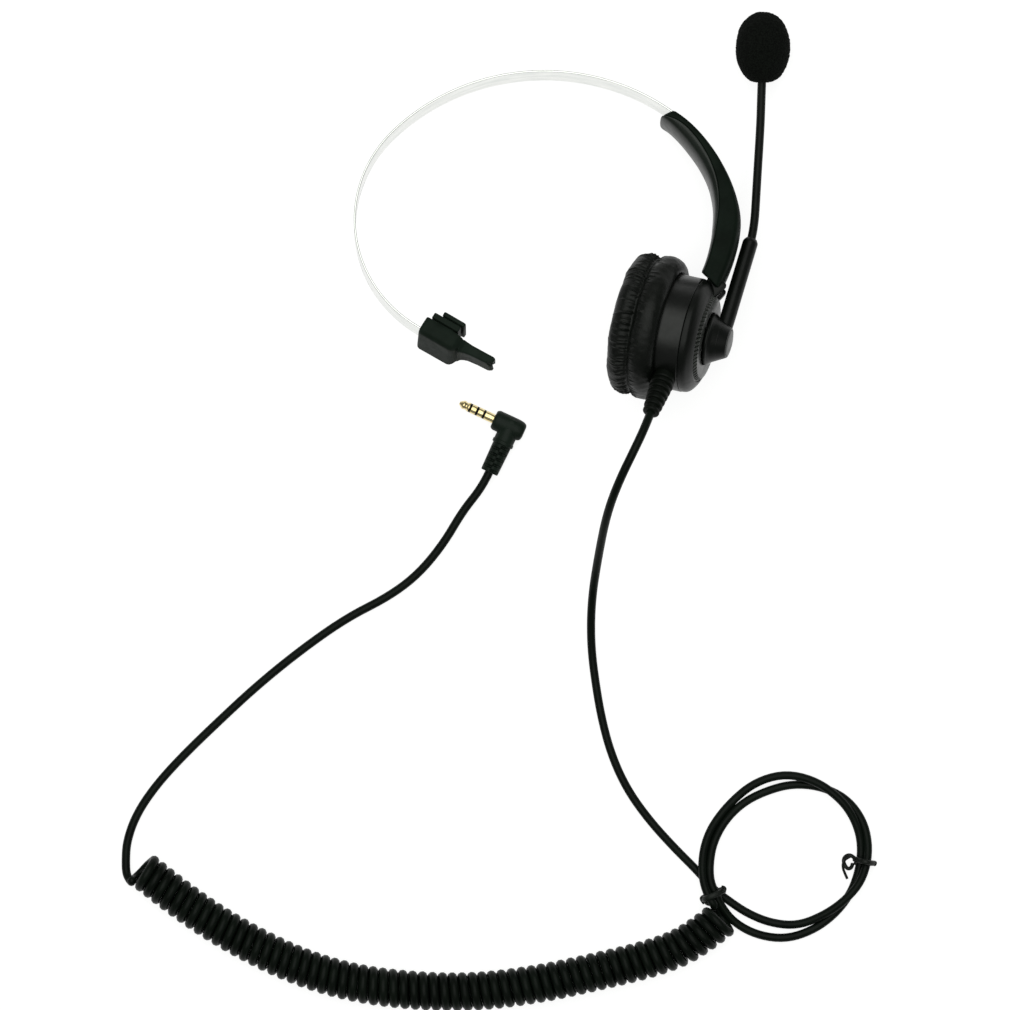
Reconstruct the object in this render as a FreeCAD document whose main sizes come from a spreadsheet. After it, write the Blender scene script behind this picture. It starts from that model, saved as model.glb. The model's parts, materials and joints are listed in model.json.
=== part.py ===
"""Monaural office headset: ear cup, sliding steel headband, microphone boom, and coiled cord.

Units are millimetres and degrees.  +Z is up from the table that the headset lies on, and the
origin is the middle of the headset's footprint, cord left out.  Each group of pieces is drawn in a
frame of its own and then placed:

  CUP     z runs out of the ear cup's back along its axis, x runs towards the headband
  BOOM    the cup frame turned about the cup's axis, so that x runs along the boom sleeve
  HINGE   x runs up the swivel stem, y along the hinge pin, at the pin's middle
  BAND    the plane of the headband, z square to that plane
  TEMPLE  x runs along the end of the headband, y towards the head
  RELIEF  z runs out of the ear cup along the strain relief
  TIP     z runs along the microphone, towards its front
  PLUG    x runs from the plug's pin into its body, z up
"""
import FreeCAD, Part
import math
import os
import Sketcher
from FreeCAD import Placement, Rotation, Vector

SIZES = [
    # the ear cup and where it lies
    ("cup_x", 26.7, "middle of the ear cushion's seam"),
    ("cup_y", -42.2, "middle of the ear cushion's seam"),
    ("cup_rest", 1.40945, "height of the seam's middle, less the height that its radius gives"),
    ("cup_swing", 12.5, "angle from X of the cup's axis, seen from above"),
    ("cup_rise", 13.0, "angle of the cup's axis above the table"),
    ("pad_reach", 3.5, "ear cushion, outside, beyond the flange"),
    ("pad_hole_radius", 12.0, "ear cushion, hole for the ear"),
    ("pad_front", 10.0, "ear cushion, height in front of its seam"),
    ("pad_back", 9.3, "ear cushion, height behind its seam"),
    ("pad_waist", 1.3, "depth of the groove at the seam"),
    ("pad_round", 4.2, "fillet of the cushion's bulges"),
    ("drum_radius", 21.2, "ear cup shells, outside"),
    ("shell_wall", 1.6, "ear cup shells, wall"),
    ("flange_reach", 2.2, "front shell's flange beyond the drum, which the cushion's lip grips"),
    ("flange_thick", 1.6, "front shell's flange"),
    ("seat_height", 3.2, "from the seam to the face between cushion plate and front shell"),
    ("plate_thick", 2.4, "cushion plate"),
    ("grille_radius", 0.9, "hole of the grille"),
    ("grille_step", 3.2, "distance between rings of grille holes"),
    ("drum_split", 17.0, "from the seam to the face between the two shells"),
    ("shoulder_height", 3.3, "rear shell's cylindrical part"),
    ("cone_height", 3.0, "rear shell's conical shoulder"),
    ("face_radius", 16.0, "rear shell's flat face"),
    ("ring_inner_radius", 12.0, "knurled ring"),
    ("ring_depth", 1.1, "knurled ring's groove"),
    ("ring_proud", 0.3, "knurled ring above the face"),
    ("ring_teeth", 60.0, "count of ridges on the knurled ring"),
    ("ridge_margin", 0.4, "smooth border each side of the knurled ring's ridges"),
    ("spigot_length", 1.4, "rear shell's spigot in the front shell"),
    ("fit_gap", 0.1, "gap of a push fit"),
    ("turn_gap", 0.05, "gap of a running fit"),
    ("clear_gap", 0.3, "gap between moving faces"),
    # the speaker inside
    ("speaker_radius", 17.0, "speaker frame"),
    ("speaker_depth", 5.0, "speaker frame"),
    ("speaker_rim", 2.0, "speaker frame's rim"),
    ("sheet_metal", 0.9, "speaker frame's back"),
    ("magnet_radius", 8.4, "speaker magnet"),
    ("magnet_thick", 4.0, "speaker magnet"),
    ("cone_thick", 0.5, "diaphragm"),
    ("board_length", 15.0, "junction board"),
    ("board_width", 9.0, "junction board"),
    ("board_thick", 1.0, "junction board"),
    ("screw_radius", 0.85, "small screw's thread"),
    ("screw_head_radius", 1.6, "small screw's head"),
    ("screw_head_thick", 1.1, "small screw's head"),
    ("screw_reach", 0.3, "circle of the cushion plate's screws, beyond the drum"),
    # the boom
    ("boom_turned", -19.3, "boom's angle about the cup's axis"),
    ("hub_radius", 9.5, "boom hub's base"),
    ("hub_step", 2.2, "boom hub's base, height"),
    ("hub_neck_radius", 8.3, "boom hub above its step"),
    ("hub_end_radius", 5.7, "boom hub's outer end"),
    ("hub_height", 8.6, "boom hub"),
    ("cap_radius", 4.6, "hub cap"),
    ("cap_thick", 1.2, "hub cap"),
    ("axle_radius", 3.55, "boom hub's axle"),
    ("axle_length", 5.6, "boom hub's axle"),
    ("washer_radius", 5.8, "hub washer"),
    ("washer_thick", 1.0, "hub washer"),
    ("hub_screw_radius", 1.2, "hub screw's thread"),
    ("hub_screw_head", 2.6, "hub screw's head, radius"),
    ("sleeve_height", 28.5, "from the seam to the boom sleeve's middle line"),
    ("sleeve_start", 3.5, "boom sleeve's inner end, from the cup's axis"),
    ("sleeve_end", 41.8, "boom sleeve's outer end, from the cup's axis"),
    ("sleeve_radius", 2.75, "boom sleeve"),
    ("neck_socket", 7.0, "depth of the gooseneck in the sleeve"),
    ("neck_straight", 1.0, "gooseneck's straight start outside the sleeve"),
    ("gooseneck_radius", 1.5, "gooseneck"),
    ("mic_radius", 4.6, "microphone housing"),
    ("mic_length", 9.0, "microphone housing"),
    ("mic_wall", 1.0, "microphone housing's wall"),
    ("capsule_radius", 3.0, "microphone capsule"),
    ("capsule_length", 4.0, "microphone capsule"),
    ("foam_radius", 10.0, "foam windscreen"),
    ("foam_half_length", 13.0, "foam windscreen"),
    ("foam_shift", 1.5, "microphone housing's middle, behind the foam's middle"),
    # the hinge between ear cup and arm
    ("pin_reach", -2.52689, "hinge pin's middle, beyond the drum's side"),
    ("pin_side", -3.34621, "hinge pin's middle, to the side of the cup's axis"),
    ("pin_height", 21.08425, "hinge pin's middle, from the seam"),
    ("pin_radius", 1.1, "hinge pin"),
    ("eye_radius", 2.4, "swivel stem's eye"),
    ("eye_width", 5.4, "swivel stem's eye"),
    ("lug_radius", 2.9, "rear shell's lugs"),
    ("lug_thick", 2.2, "rear shell's lugs"),
    ("stem_radius", 2.2, "swivel stem"),
    ("stem_length", 12.4, "swivel stem, from the pin to its head's top"),
    ("stem_head_radius", 3.1, "swivel stem's head"),
    ("stem_head_thick", 1.8, "swivel stem's head"),
    ("pin_drop", 8.8, "from the arm's socket middle back to the pin"),
    # the arm, an arc in the plane of the band
    ("band_tilt", 17.0, "slope of the headband's plane, its top end down"),
    ("arm_x", 5.0, "middle of the arm's arc"),
    ("arm_y", 20.0, "middle of the arm's arc"),
    ("arm_inner_radius", 47.1, "arm, face towards the head"),
    ("arm_thick", 8.5, "arm, across its two covers"),
    ("arm_cover_thick", 3.1, "arm inner cover"),
    ("arm_depth", 16.0, "arm, across the headband"),
    ("arm_low_angle", -23.0, "arm's lower end"),
    ("arm_top_angle", 53.0, "arm's upper end"),
    ("arm_socket_angle", -17.0, "where the swivel stem's line is square to the arc"),
    ("arm_round", 2.2, "fillet of the arm's long edges"),
    ("arm_screw_angle", -5.5, "arm screw"),
    # the headband strip: three arcs that run into each other
    ("strip_thick", 0.8, "steel strip"),
    ("strip_width", 10.0, "steel strip"),
    ("grip_x", 6.86948, "middle of the arc that slides in the arm"),
    ("grip_y", 23.81591, "middle of the arc that slides in the arm"),
    ("crown_radius", 78.2, "crown's arc"),
    ("grip_angle", 52.0, "where the crown's arc meets the arc that slides in the arm"),
    ("grip_radius", 49.5, "arc that slides in the arm"),
    ("grip_length_angle", 44.0, "angle of strip that the arm holds"),
    ("side_angle", 135.5, "where the crown's arc meets the side's arc"),
    ("side_radius", 48.7, "side's arc"),
    ("side_end_angle", 238.6, "side's arc, at the temple block"),
    ("strip_tail", 12.0, "straight end of the strip inside the temple block"),
    ("slot_gap", 0.4, "gap each side of the strip in the arm"),
    ("slider_thick", 1.6, "detent slider"),
    ("slider_angle", 9.0, "detent slider's length, as an angle"),
    ("slot_before", 3.0, "slot in the arm before the strip's end, as an angle"),
    ("slot_after", 10.0, "slot in the arm past where the strip leaves its arc, as an angle"),
    ("slider_stop", 8.0, "solid end of the slider's run, as an angle"),
    # the temple block
    ("block_length", 15.0, "temple block"),
    ("block_depth", 17.0, "temple block, across the headband"),
    ("block_outer", 4.6, "temple block, outside the strip"),
    ("block_slant", 4.0, "slope of the block's outer face"),
    ("block_start", 0.5, "temple block's end, past the end of the strip's arc"),
    ("cheek_round", 1.2, "fillet of the temple block's long edges"),
    ("block_inner", 4.3, "temple block, inside the strip"),
    ("rail_gap", 0.8, "groove under each flange"),
    ("rail_thick", 2.2, "flange of the temple block"),
    ("rail_inset", 1.4, "depth of the groove under a flange"),
    ("rail_trim", 1.2, "margin of the first flange inside the block's outline"),
    ("rail_step", 1.0, "how much more the second flange keeps inside it"),
    ("stub_length", 13.6, "stub"),
    ("stub_thick", 3.4, "stub"),
    ("stub_depth", 9.0, "stub"),
    ("stub_root", 0.5, "how far the stub runs into the block"),
    ("stub_rise", 0.6, "stub's inner face beyond the block's"),
    ("notch_depth", 1.3, "notch in the stub's end"),
    ("notch_width", 2.6, "notch in the stub's end"),
    # the cord and what is on it
    ("relief_turned", 145.0, "strain relief's angle about the cup's axis"),
    ("relief_height", 13.4, "from the seam to the strain relief"),
    ("relief_length", 16.0, "strain relief outside the shell"),
    ("relief_root_radius", 4.0, "strain relief at the shell"),
    ("relief_tip_radius", 2.9, "strain relief at its end"),
    ("relief_rib", 0.7, "depth of the strain relief's ribs"),
    ("relief_ribs", 5.0, "count of ribs"),
    ("relief_stem_radius", 3.0, "strain relief in the shell's hole"),
    ("relief_plug_thick", 1.4, "strain relief's collar inside the shell"),
    ("cord_radius", 1.5, "cord"),
    ("cord_exit", 8.0, "straight stretch of cord out of the strain relief"),
    ("curl_radius", 7.1, "curly cord, outside"),
    ("ring_x", 78.3, "middle of the ring of spare cord"),
    ("ring_y", -238.1, "middle of the ring of spare cord"),
    ("coil_inner_radius", 23.4, "ring of spare cord"),
    ("coil_outer_radius", 32.6, "ring of spare cord"),
    ("coil_height", 6.2, "ring of spare cord"),
    ("coil_round", 2.0, "ring of spare cord, upper edges"),
    ("tie_thick", 0.9, "twist tie"),
    ("tie_width", 2.4, "twist tie"),
    ("tie_one_angle", -8.0, "first twist tie, about the ring's middle"),
    ("tie_two_angle", 210.0, "second twist tie, about the ring's middle"),
    # the plug
    ("plug_x", -29.4, "plug pin's root"),
    ("plug_y", -76.4, "plug pin's root"),
    ("plug_z", 3.5, "plug pin's middle line above the table"),
    ("plug_turned", -25.2, "direction from the pin into the body"),
    ("jack_radius", 1.75, "3.5 mm plug, sleeve"),
    ("jack_length", 14.0, "3.5 mm plug, pin"),
    ("jack_core_radius", 0.9, "plastic core under the contacts"),
    ("jack_band", 0.8, "plastic band between contacts"),
    ("jack_step", 2.8, "from one plastic band to the next"),
    ("jack_first_band", 4.0, "from the pin's end to the first plastic band"),
    ("barrel_radius", 3.3, "plug body"),
    ("barrel_length", 12.0, "plug body"),
    ("barrel_edge", 0.5, "bevel round the pin's end of the plug body"),
    ("barrel_dome", 1.5, "bevel round the plug body's outer end"),
    ("leg_offset", 6.8, "from the pin's root to the leg's middle line"),
    ("leg_length", 7.4, "plug body's leg, from the pin's middle line"),
    ("leg_radius", 3.45, "plug body's leg"),
    ("boot_length", 11.2, "plug strain relief"),
    ("boot_radius", 3.1, "plug strain relief"),
    ("boot_slot", 1.0, "slot in the plug strain relief"),
    ("boot_slot_depth", 1.3, "slot in the plug strain relief"),
    ("slot_start", 1.4, "first slot, from the boot's root"),
    ("slot_end", 2.0, "boot's length that the slots leave out"),
    ("slot_stagger", 0.9, "slots on one side, past those on the other"),
    ("boot_straight", 6.0, "straight stretch of cord into the boot"),
]

# Routes: where the cord's runs meet, x y z.
HEADSET_CORD = [
    (21.6, -88.6, 58.2), (17.2, -97.6, 56.4), (13.6, -106.5, 50.7), (11.3, -114.7, 42.1),
    (9.8, -122.6, 31.9), (8.4, -130.9, 21.9), (7.1, -139.7, 13.9), (6.4, -149.7, 7.9),
    (6.6, -161.2, 4.1), (8.0, -172.9, 2.3), (10.3, -186.7, 1.7), (13.9, -200.3, 1.7),
    (19.6, -213.0, 1.7), (27.7, -224.4, 1.7), (37.1, -234.8, 1.7), (46.0, -243.6, 1.7),
    (51.6, -250.2, 1.7),
]
CURLY_CORD = [
    (-159.7, -242.5, 7.2), (-145.6, -254.0, 7.2), (-125.2, -267.3, 7.2), (-102.3, -278.6, 7.2),
    (-80.8, -285.0, 7.2), (-58.6, -287.7, 7.2), (-37.0, -288.2, 7.2), (-14.0, -285.4, 7.2),
    (8.5, -280.6, 7.2), (31.0, -274.3, 7.2), (44.0, -266.6, 7.2), (52.0, -259.0, 7.2),
]
PLUG_LEAD = [
    (-162.0, -244.4, 3.6), (-164.4, -239.4, 2.2), (-164.6, -232.0, 1.7), (-161.6, -222.5, 1.7),
    (-154.5, -212.0, 1.7), (-144.5, -201.0, 1.7), (-131.0, -188.0, 1.7), (-117.0, -175.0, 1.7),
    (-101.0, -162.0, 1.7), (-84.0, -150.0, 1.7), (-68.5, -142.2, 1.7), (-57.5, -134.0, 1.7),
    (-48.0, -122.5, 1.9), (-41.0, -110.5, 2.6),
]
GOOSENECK = [
    (66.7, -3.0, 17.9), (67.2, 4.6, 15.6), (67.8, 14.0, 13.4),
]
GOOSENECK_TIP = [
    (68.4, 23.1, 11.8), (69.0, 33.0, 10.7), (69.3, 42.5, 10.1),
]
FOAM_MIDDLE = Vector(69.9, 61.1, 10.0)
BEND_POINT = Vector(68.1, 18.5, 12.5)

doc = FreeCAD.newDocument("OfficeHeadset")
sheet = doc.addObject("Spreadsheet::Sheet", "Sizes")
for row, (alias, amount, meaning) in enumerate(SIZES, start=1):
    sheet.set("A%d" % row, meaning)
    sheet.set("B%d" % row, str(amount))
    sheet.setAlias("B%d" % row, alias)
doc.recompute()

PIECES = []
# what counts as touching, and how far a fused piece runs into its neighbour
HAIR = 0.01


def size(alias):
    """The number in the sheet's cell of that name."""
    return float(sheet.get(alias))


def formula(words):
    """Turn 'drum_radius - shell_wall' into an expression over the sheet."""
    return " ".join("Sizes." + word if word[0].isalpha() else word for word in words.split())


def bind(thing, **sizes):
    """Tie properties of an object to formulas over the sheet."""
    for name, words in sizes.items():
        thing.setExpression(name, formula(words))
    return thing


def frame(origin, x_axis, z_axis):
    """The placement whose x and z axes point along two directions at right angles."""
    x_axis = Vector(x_axis).normalize()
    z_axis = Vector(z_axis).normalize()
    y_axis = z_axis.cross(x_axis)
    return Placement(Vector(origin), Rotation(x_axis, y_axis, z_axis, "ZXY"))


def shifted(base, x=0.0, y=0.0, z=0.0, axis=(0, 0, 1), turn=0.0):
    """A placement moved and then turned inside another one."""
    return base.multiply(Placement(Vector(x, y, z), Rotation(Vector(*axis), turn)))


def finish(piece, label, place=None):
    """Name a finished sub-part, put it in its place, and keep it for export."""
    piece.Label = label
    if place is not None:
        piece.Placement = place
    PIECES.append(piece)
    return piece


def cylinder(radius, height, place=Placement(), angle=None):
    """A Part cylinder, or a sector of one, sized from the sheet."""
    solid = bind(doc.addObject("Part::Cylinder", "Round"), Radius=radius, Height=height)
    if angle is not None:
        bind(solid, Angle=angle)
    solid.Placement = place
    return solid


def block(length, width, height, place=Placement()):
    """A Part box sized from the sheet, with its corner at the placement."""
    solid = bind(doc.addObject("Part::Box", "Block"), Length=length, Width=width, Height=height)
    solid.Placement = place
    return solid


def cut(base, *tools):
    """The base less every tool."""
    for tool in tools:
        result = doc.addObject("Part::Cut", "Cut")
        result.Base = base
        result.Tool = tool
        base = result
    return base


def fuse(*parts):
    """One object out of several that touch."""
    result = doc.addObject("Part::MultiFuse", "Fuse")
    result.Shapes = list(parts)
    result.Refine = True
    return result


def together(*parts):
    """Separate solids kept in one object."""
    result = doc.addObject("Part::Compound", "Group")
    result.Links = list(parts)
    return result


def arc_wall(inner, outer, depth, span, place):
    """A wall bent on an arc: a sector of a cylinder with a smaller cylinder taken out."""
    return cut(cylinder(outer, depth, place, span), cylinder(inner, depth, place))


def rounded(base, radius, wanted):
    """Fillet the edges that a test picks."""
    doc.recompute()
    result = doc.addObject("Part::Fillet", "Rounded")
    result.Base = base
    result.Edges = [(number, radius, radius)
                    for number, edge in enumerate(base.Shape.Edges, start=1) if wanted(edge)]
    return result


def turned(label, profile, rounds=()):
    """A PartDesign body: a closed outline of (radius, height) formulas turned about z.

    Each entry of rounds is the number of an outline point and the alias of its fillet radius.
    """
    body = doc.addObject("PartDesign::Body", "Body")
    sketch = body.newObject("Sketcher::SketchObject", "Outline")
    plane = [item for item in body.Origin.OriginFeatures if item.Role == "XZ_Plane"][0]
    sketch.AttachmentSupport = [(plane, "")]
    sketch.MapMode = "FlatFace"
    count = len(profile)
    start = [Vector(50 + 20 * math.cos(2 * math.pi * k / count),
                    20 * math.sin(2 * math.pi * k / count), 0) for k in range(count)]
    for k in range(count):
        sketch.addGeometry(Part.LineSegment(start[k], start[(k + 1) % count]), False)
    for k in range(count):
        sketch.addConstraint(Sketcher.Constraint("Coincident", k, 2, (k + 1) % count, 1))
    for k, pair in enumerate(profile):
        for kind, words, guess in (("DistanceX", pair[0], start[k].x),
                                   ("DistanceY", pair[1], start[k].y)):
            number = sketch.addConstraint(Sketcher.Constraint(kind, -1, 1, k, 1, guess))
            sketch.setExpression("Constraints[%d]" % number, formula(words))
    doc.recompute()
    turn = body.newObject("PartDesign::Revolution", "Turn")
    turn.Profile = sketch
    turn.ReferenceAxis = (sketch, ["V_Axis"])
    turn.Angle = 360
    doc.recompute()
    for point, alias in rounds:
        corner = sketch.getPoint(point, 1)
        tip = body.Tip
        names = ["Edge%d" % number for number, edge in enumerate(tip.Shape.Edges, start=1)
                 if is_circle(edge, corner.x, corner.y)]
        fillet = body.newObject("PartDesign::Fillet", "Fillet")
        fillet.Base = (tip, names)
        bind(fillet, Radius=alias)
        doc.recompute()
    body.Label = label
    return body


def is_circle(edge, radius, height):
    """True for an edge that is a circle about z with this radius and height."""
    if edge.Length < 1e-6 or not isinstance(edge.Curve, Part.Circle):
        return False
    return abs(edge.Curve.Radius - radius) < 0.01 and abs(edge.Curve.Center.z - height) < 0.01


def route_wire(points):
    """Straight runs joined by arcs, each arc as large as its two runs allow."""
    points = [Vector(*point) for point in points]
    edges = []
    radii = []
    last = points[0]
    for before, corner, after in zip(points, points[1:], points[2:]):
        into = (corner - before).normalize()
        away = (after - corner).normalize()
        half_turn = math.acos(max(-1.0, min(1.0, into.dot(away)))) / 2
        reach = 0.45 * min((corner - before).Length, (after - corner).Length)
        radii.append(reach / math.tan(half_turn))
        enter = corner - into * reach
        leave = corner + away * reach
        to_middle = (away - into).normalize()
        middle = corner + to_middle * (radii[-1] / math.cos(half_turn) - radii[-1])
        edges.append(Part.LineSegment(last, enter).toShape())
        edges.append(Part.Arc(enter, middle, leave).toShape())
        last = leave
    edges.append(Part.LineSegment(last, points[-1]).toShape())
    return Part.Wire(edges), radii


def tube(name, points, radius):
    """A round tube along a route, with its smallest radius and volume printed."""
    wire, radii = route_wire(points)
    first = wire.Edges[0]
    ahead = first.tangentAt(first.FirstParameter)
    ring = Part.Wire([Part.makeCircle(radius, Vector(*points[0]), ahead)])
    solid = wire.makePipeShell([ring], True, False, 1)
    expected = math.pi * radius ** 2 * wire.Length
    print("%s: length %.1f, volume %.0f of %.0f, radii %s"
          % (name, wire.Length, solid.Volume, expected, " ".join("%.0f" % bend for bend in radii)))
    feature = doc.addObject("Part::Feature", "Tube")
    feature.Shape = solid
    return feature


def along(origin, direction, distance):
    """The point that far from an origin in a direction."""
    return origin + direction * distance


# ---------------------------------------------------------------- frames
swing = math.radians(size("cup_swing"))
rise = math.radians(size("cup_rise"))
pad_radius = size("drum_radius") + size("flange_reach") + size("pad_reach")
CUP_MIDDLE = Vector(size("cup_x"), size("cup_y"), pad_radius * math.cos(rise) + size("cup_rest"))
CUP_AXIS = Vector(math.cos(rise) * math.cos(swing), -math.cos(rise) * math.sin(swing), math.sin(rise))
CUP = frame(CUP_MIDDLE, Vector(math.sin(swing), math.cos(swing), 0), CUP_AXIS)
BOOM = shifted(CUP, turn=size("boom_turned"))
RELIEF = shifted(shifted(CUP, z=size("relief_height"), turn=size("relief_turned")),
                 axis=(0, 1, 0), turn=90)
FLAT = Placement()


def polar(radius, degrees):
    """The vector of that length at that angle in the x y plane."""
    return Vector(radius * math.cos(math.radians(degrees)), radius * math.sin(math.radians(degrees)), 0)


arm_middle = Vector(size("arm_x"), size("arm_y"), 0)
arm_line_radius = size("arm_inner_radius") + size("arm_thick") / 2
socket_point = arm_middle + polar(arm_line_radius, size("arm_socket_angle"))
stem_line = polar(1, size("arm_socket_angle") + 90)
pin_point = along(socket_point, stem_line, -size("pin_drop"))
pin_place = CUP.multVec(Vector(size("drum_radius") + size("pin_reach"), size("pin_side"),
                               size("pin_height")))
band_slope = Rotation(Vector(1, 0, 0), -size("band_tilt"))
BAND = Placement(pin_place - band_slope.multVec(pin_point), band_slope)
HINGE = shifted(BAND, pin_point.x, pin_point.y, 0, turn=size("arm_socket_angle") + 90)
HINGE = shifted(HINGE, axis=(1, 0, 0), turn=-90)

grip_middle = Vector(size("grip_x"), size("grip_y"), 0)
crown_middle = grip_middle - polar(size("crown_radius") - size("grip_radius"), size("grip_angle"))
side_middle = crown_middle + polar(size("crown_radius") - size("side_radius"), size("side_angle"))
strip_end = side_middle + polar(size("side_radius"), size("side_end_angle"))
TEMPLE = shifted(BAND, strip_end.x, strip_end.y, 0, turn=size("side_end_angle") + 90)
tip_line = Vector(FOAM_MIDDLE - Vector(*GOOSENECK_TIP[-1])).normalize()
TIP = frame(FOAM_MIDDLE, Vector(0, 0, 1).cross(tip_line), tip_line)
PLUG = Placement(Vector(size("plug_x"), size("plug_y"), size("plug_z")),
                 Rotation(Vector(0, 0, 1), size("plug_turned")))


# ---------------------------------------------------------------- ear cup
FLANGE_EDGE = "drum_radius + flange_reach"
PAD_EDGE = FLANGE_EDGE + " + pad_reach"


def make_ear_cushion():
    """Leatherette ring whose lip reaches round the front shell's flange."""
    rim = PAD_EDGE + " - pad_waist"
    lip = "drum_radius + clear_gap"
    over = "seat_height + flange_thick + clear_gap"
    base = "seat_height - plate_thick - clear_gap"
    outline = [
        ("pad_hole_radius", base), ("pad_hole_radius", "0 - pad_front"),
        (PAD_EDGE, "0 - pad_front"), (PAD_EDGE, "0 - pad_waist"), (rim, "0"),
        (PAD_EDGE, "pad_waist"), (PAD_EDGE, "pad_back - pad_round"),
        (lip, "pad_back"), (lip, over), (FLANGE_EDGE + " + clear_gap", over),
        (FLANGE_EDGE + " + clear_gap", base),
    ]
    finish(turned("ear_cushion", outline, [(2, "pad_round"), (1, "pad_waist")]), "ear_cushion", CUP)


def make_cushion_plate():
    """Baffle in front of the speaker: a disc with rings of sound holes and three screw holes."""
    low = "seat_height - plate_thick"
    disc = turned("plate_disc", [("0", low), (FLANGE_EDGE, low), (FLANGE_EDGE, "seat_height"),
                                 ("0", "seat_height")])
    holes = [cylinder("grille_radius", "plate_thick * 2", Placement(Vector(0, 0, -1), Rotation()))]
    for ring in (1, 2, 3):
        for step in range(6 * ring):
            spot = polar(ring * size("grille_step"), 60.0 * step / ring)
            holes.append(cylinder("grille_radius", "plate_thick * 2",
                                  Placement(Vector(spot.x, spot.y, -1), Rotation())))
    finish(cut(disc, together(*holes), plate_screws("fit_gap")), "cushion_plate", CUP)


def plate_screws(gap):
    """Three countersunk screws through the cushion plate, or their holes, that much larger."""
    top = size("seat_height") - size("plate_thick")
    screws = []
    for number in range(3):
        spot = polar(size("drum_radius") + size("screw_reach"), 90 + 120 * number)
        head = cylinder("screw_head_radius + " + gap, "screw_head_thick + " + gap,
                        Placement(Vector(spot.x, spot.y, top), Rotation()))
        thread = cylinder("screw_radius + " + gap, "plate_thick + flange_thick",
                          Placement(Vector(spot.x, spot.y, top), Rotation()))
        screws.append(fuse(head, thread))
    return together(*screws)


def make_front_shell():
    """Glossy drum with a flange for the cushion, screw holes and the strain relief's hole."""
    bore = "drum_radius - shell_wall"
    outline = [
        (bore, "seat_height"), (FLANGE_EDGE, "seat_height"),
        (FLANGE_EDGE, "seat_height + flange_thick"), ("drum_radius", "seat_height + flange_thick"),
        ("drum_radius", "drum_split"), (bore, "drum_split"),
    ]
    relief_hole = cylinder("relief_stem_radius + turn_gap", "drum_radius * 2", relief_in_cup())
    finish(cut(turned("drum", outline), plate_screws("turn_gap"), relief_hole), "front_shell", CUP)


def relief_in_cup():
    """The strain relief's frame as seen from the cup's frame."""
    return CUP.inverse().multiply(RELIEF)


def hinge_in_cup():
    """The hinge's frame as seen from the cup's frame."""
    return CUP.inverse().multiply(HINGE)


def make_rear_shell():
    """Drum's back with a conical shoulder, the ring's groove, the hub's bearing and two lugs."""
    top = "drum_split + shoulder_height + cone_height"
    bore = "axle_radius + turn_gap"
    foot = top + " - axle_length + clear_gap"
    spigot = "drum_radius - shell_wall - fit_gap"
    ceiling = "drum_split + shoulder_height + cone_height - ring_depth - shell_wall"
    outline = [
        ("drum_radius", "drum_split"), ("drum_radius", "drum_split + shoulder_height"),
        ("face_radius", top), ("face_radius", top + " - ring_depth"),
        ("ring_inner_radius", top + " - ring_depth"), ("ring_inner_radius", top), (bore, top),
        (bore, foot), ("washer_radius", foot), ("washer_radius", ceiling),
        ("face_radius - shell_wall", ceiling),
        (spigot + " - shell_wall", "drum_split + shoulder_height - shell_wall"),
        (spigot + " - shell_wall", "drum_split - spigot_length"),
        (spigot, "drum_split - spigot_length"), (spigot, "drum_split"),
    ]
    shell = turned("shell", outline)
    place = shifted(hinge_in_cup(), axis=(1, 0, 0), turn=-90)
    wide = size("eye_width") / 2 + size("clear_gap") + size("lug_thick")
    slot = size("eye_width") / 2 + size("clear_gap")
    lugs = cylinder("lug_radius", "eye_width + clear_gap * 2 + lug_thick * 2",
                    shifted(place, z=-wide))
    pocket = cylinder("eye_radius + clear_gap", "eye_width + clear_gap * 2", shifted(place, z=-slot))
    opening = block("lug_radius * 2", "lug_radius * 4", "eye_width + clear_gap * 2",
                    shifted(place, 0, -2 * size("lug_radius"), -slot))
    pin_hole = cylinder("pin_radius", "eye_width + clear_gap * 2 + lug_thick * 2",
                        shifted(place, z=-wide))
    notch = cylinder("relief_root_radius + fit_gap", "shell_wall * 2 + relief_plug_thick",
                     shifted(relief_in_cup(), z=size("drum_radius") - 3 * size("shell_wall")
                             - size("relief_plug_thick")))
    finish(cut(fuse(shell, lugs), pocket, opening, pin_hole, notch), "rear_shell", CUP)


def make_knurled_ring():
    """Ratchet ring in the rear face, with a ridge for each click."""
    top = "drum_split + shoulder_height + cone_height"
    outline = [
        ("ring_inner_radius + turn_gap", top + " - ring_depth"),
        ("face_radius - turn_gap", top + " - ring_depth"),
        ("face_radius - turn_gap", top), ("ring_inner_radius + turn_gap", top),
    ]
    ring = turned("ring", outline)
    count = int(size("ring_teeth"))
    height = size("drum_split") + size("shoulder_height") + size("cone_height")
    width = math.pi * size("ring_inner_radius") / count
    ridges = []
    for number in range(count):
        ridge = block("face_radius - ring_inner_radius - ridge_margin * 2", "ring_proud * 2",
                      "ring_proud")
        ridge.Placement = shifted(shifted(FLAT, turn=360.0 * number / count),
                                  size("ring_inner_radius") + size("ridge_margin"), -width / 2, height)
        ridges.append(ridge)
    finish(fuse(ring, *ridges), "knurled_ring", CUP)


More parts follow.
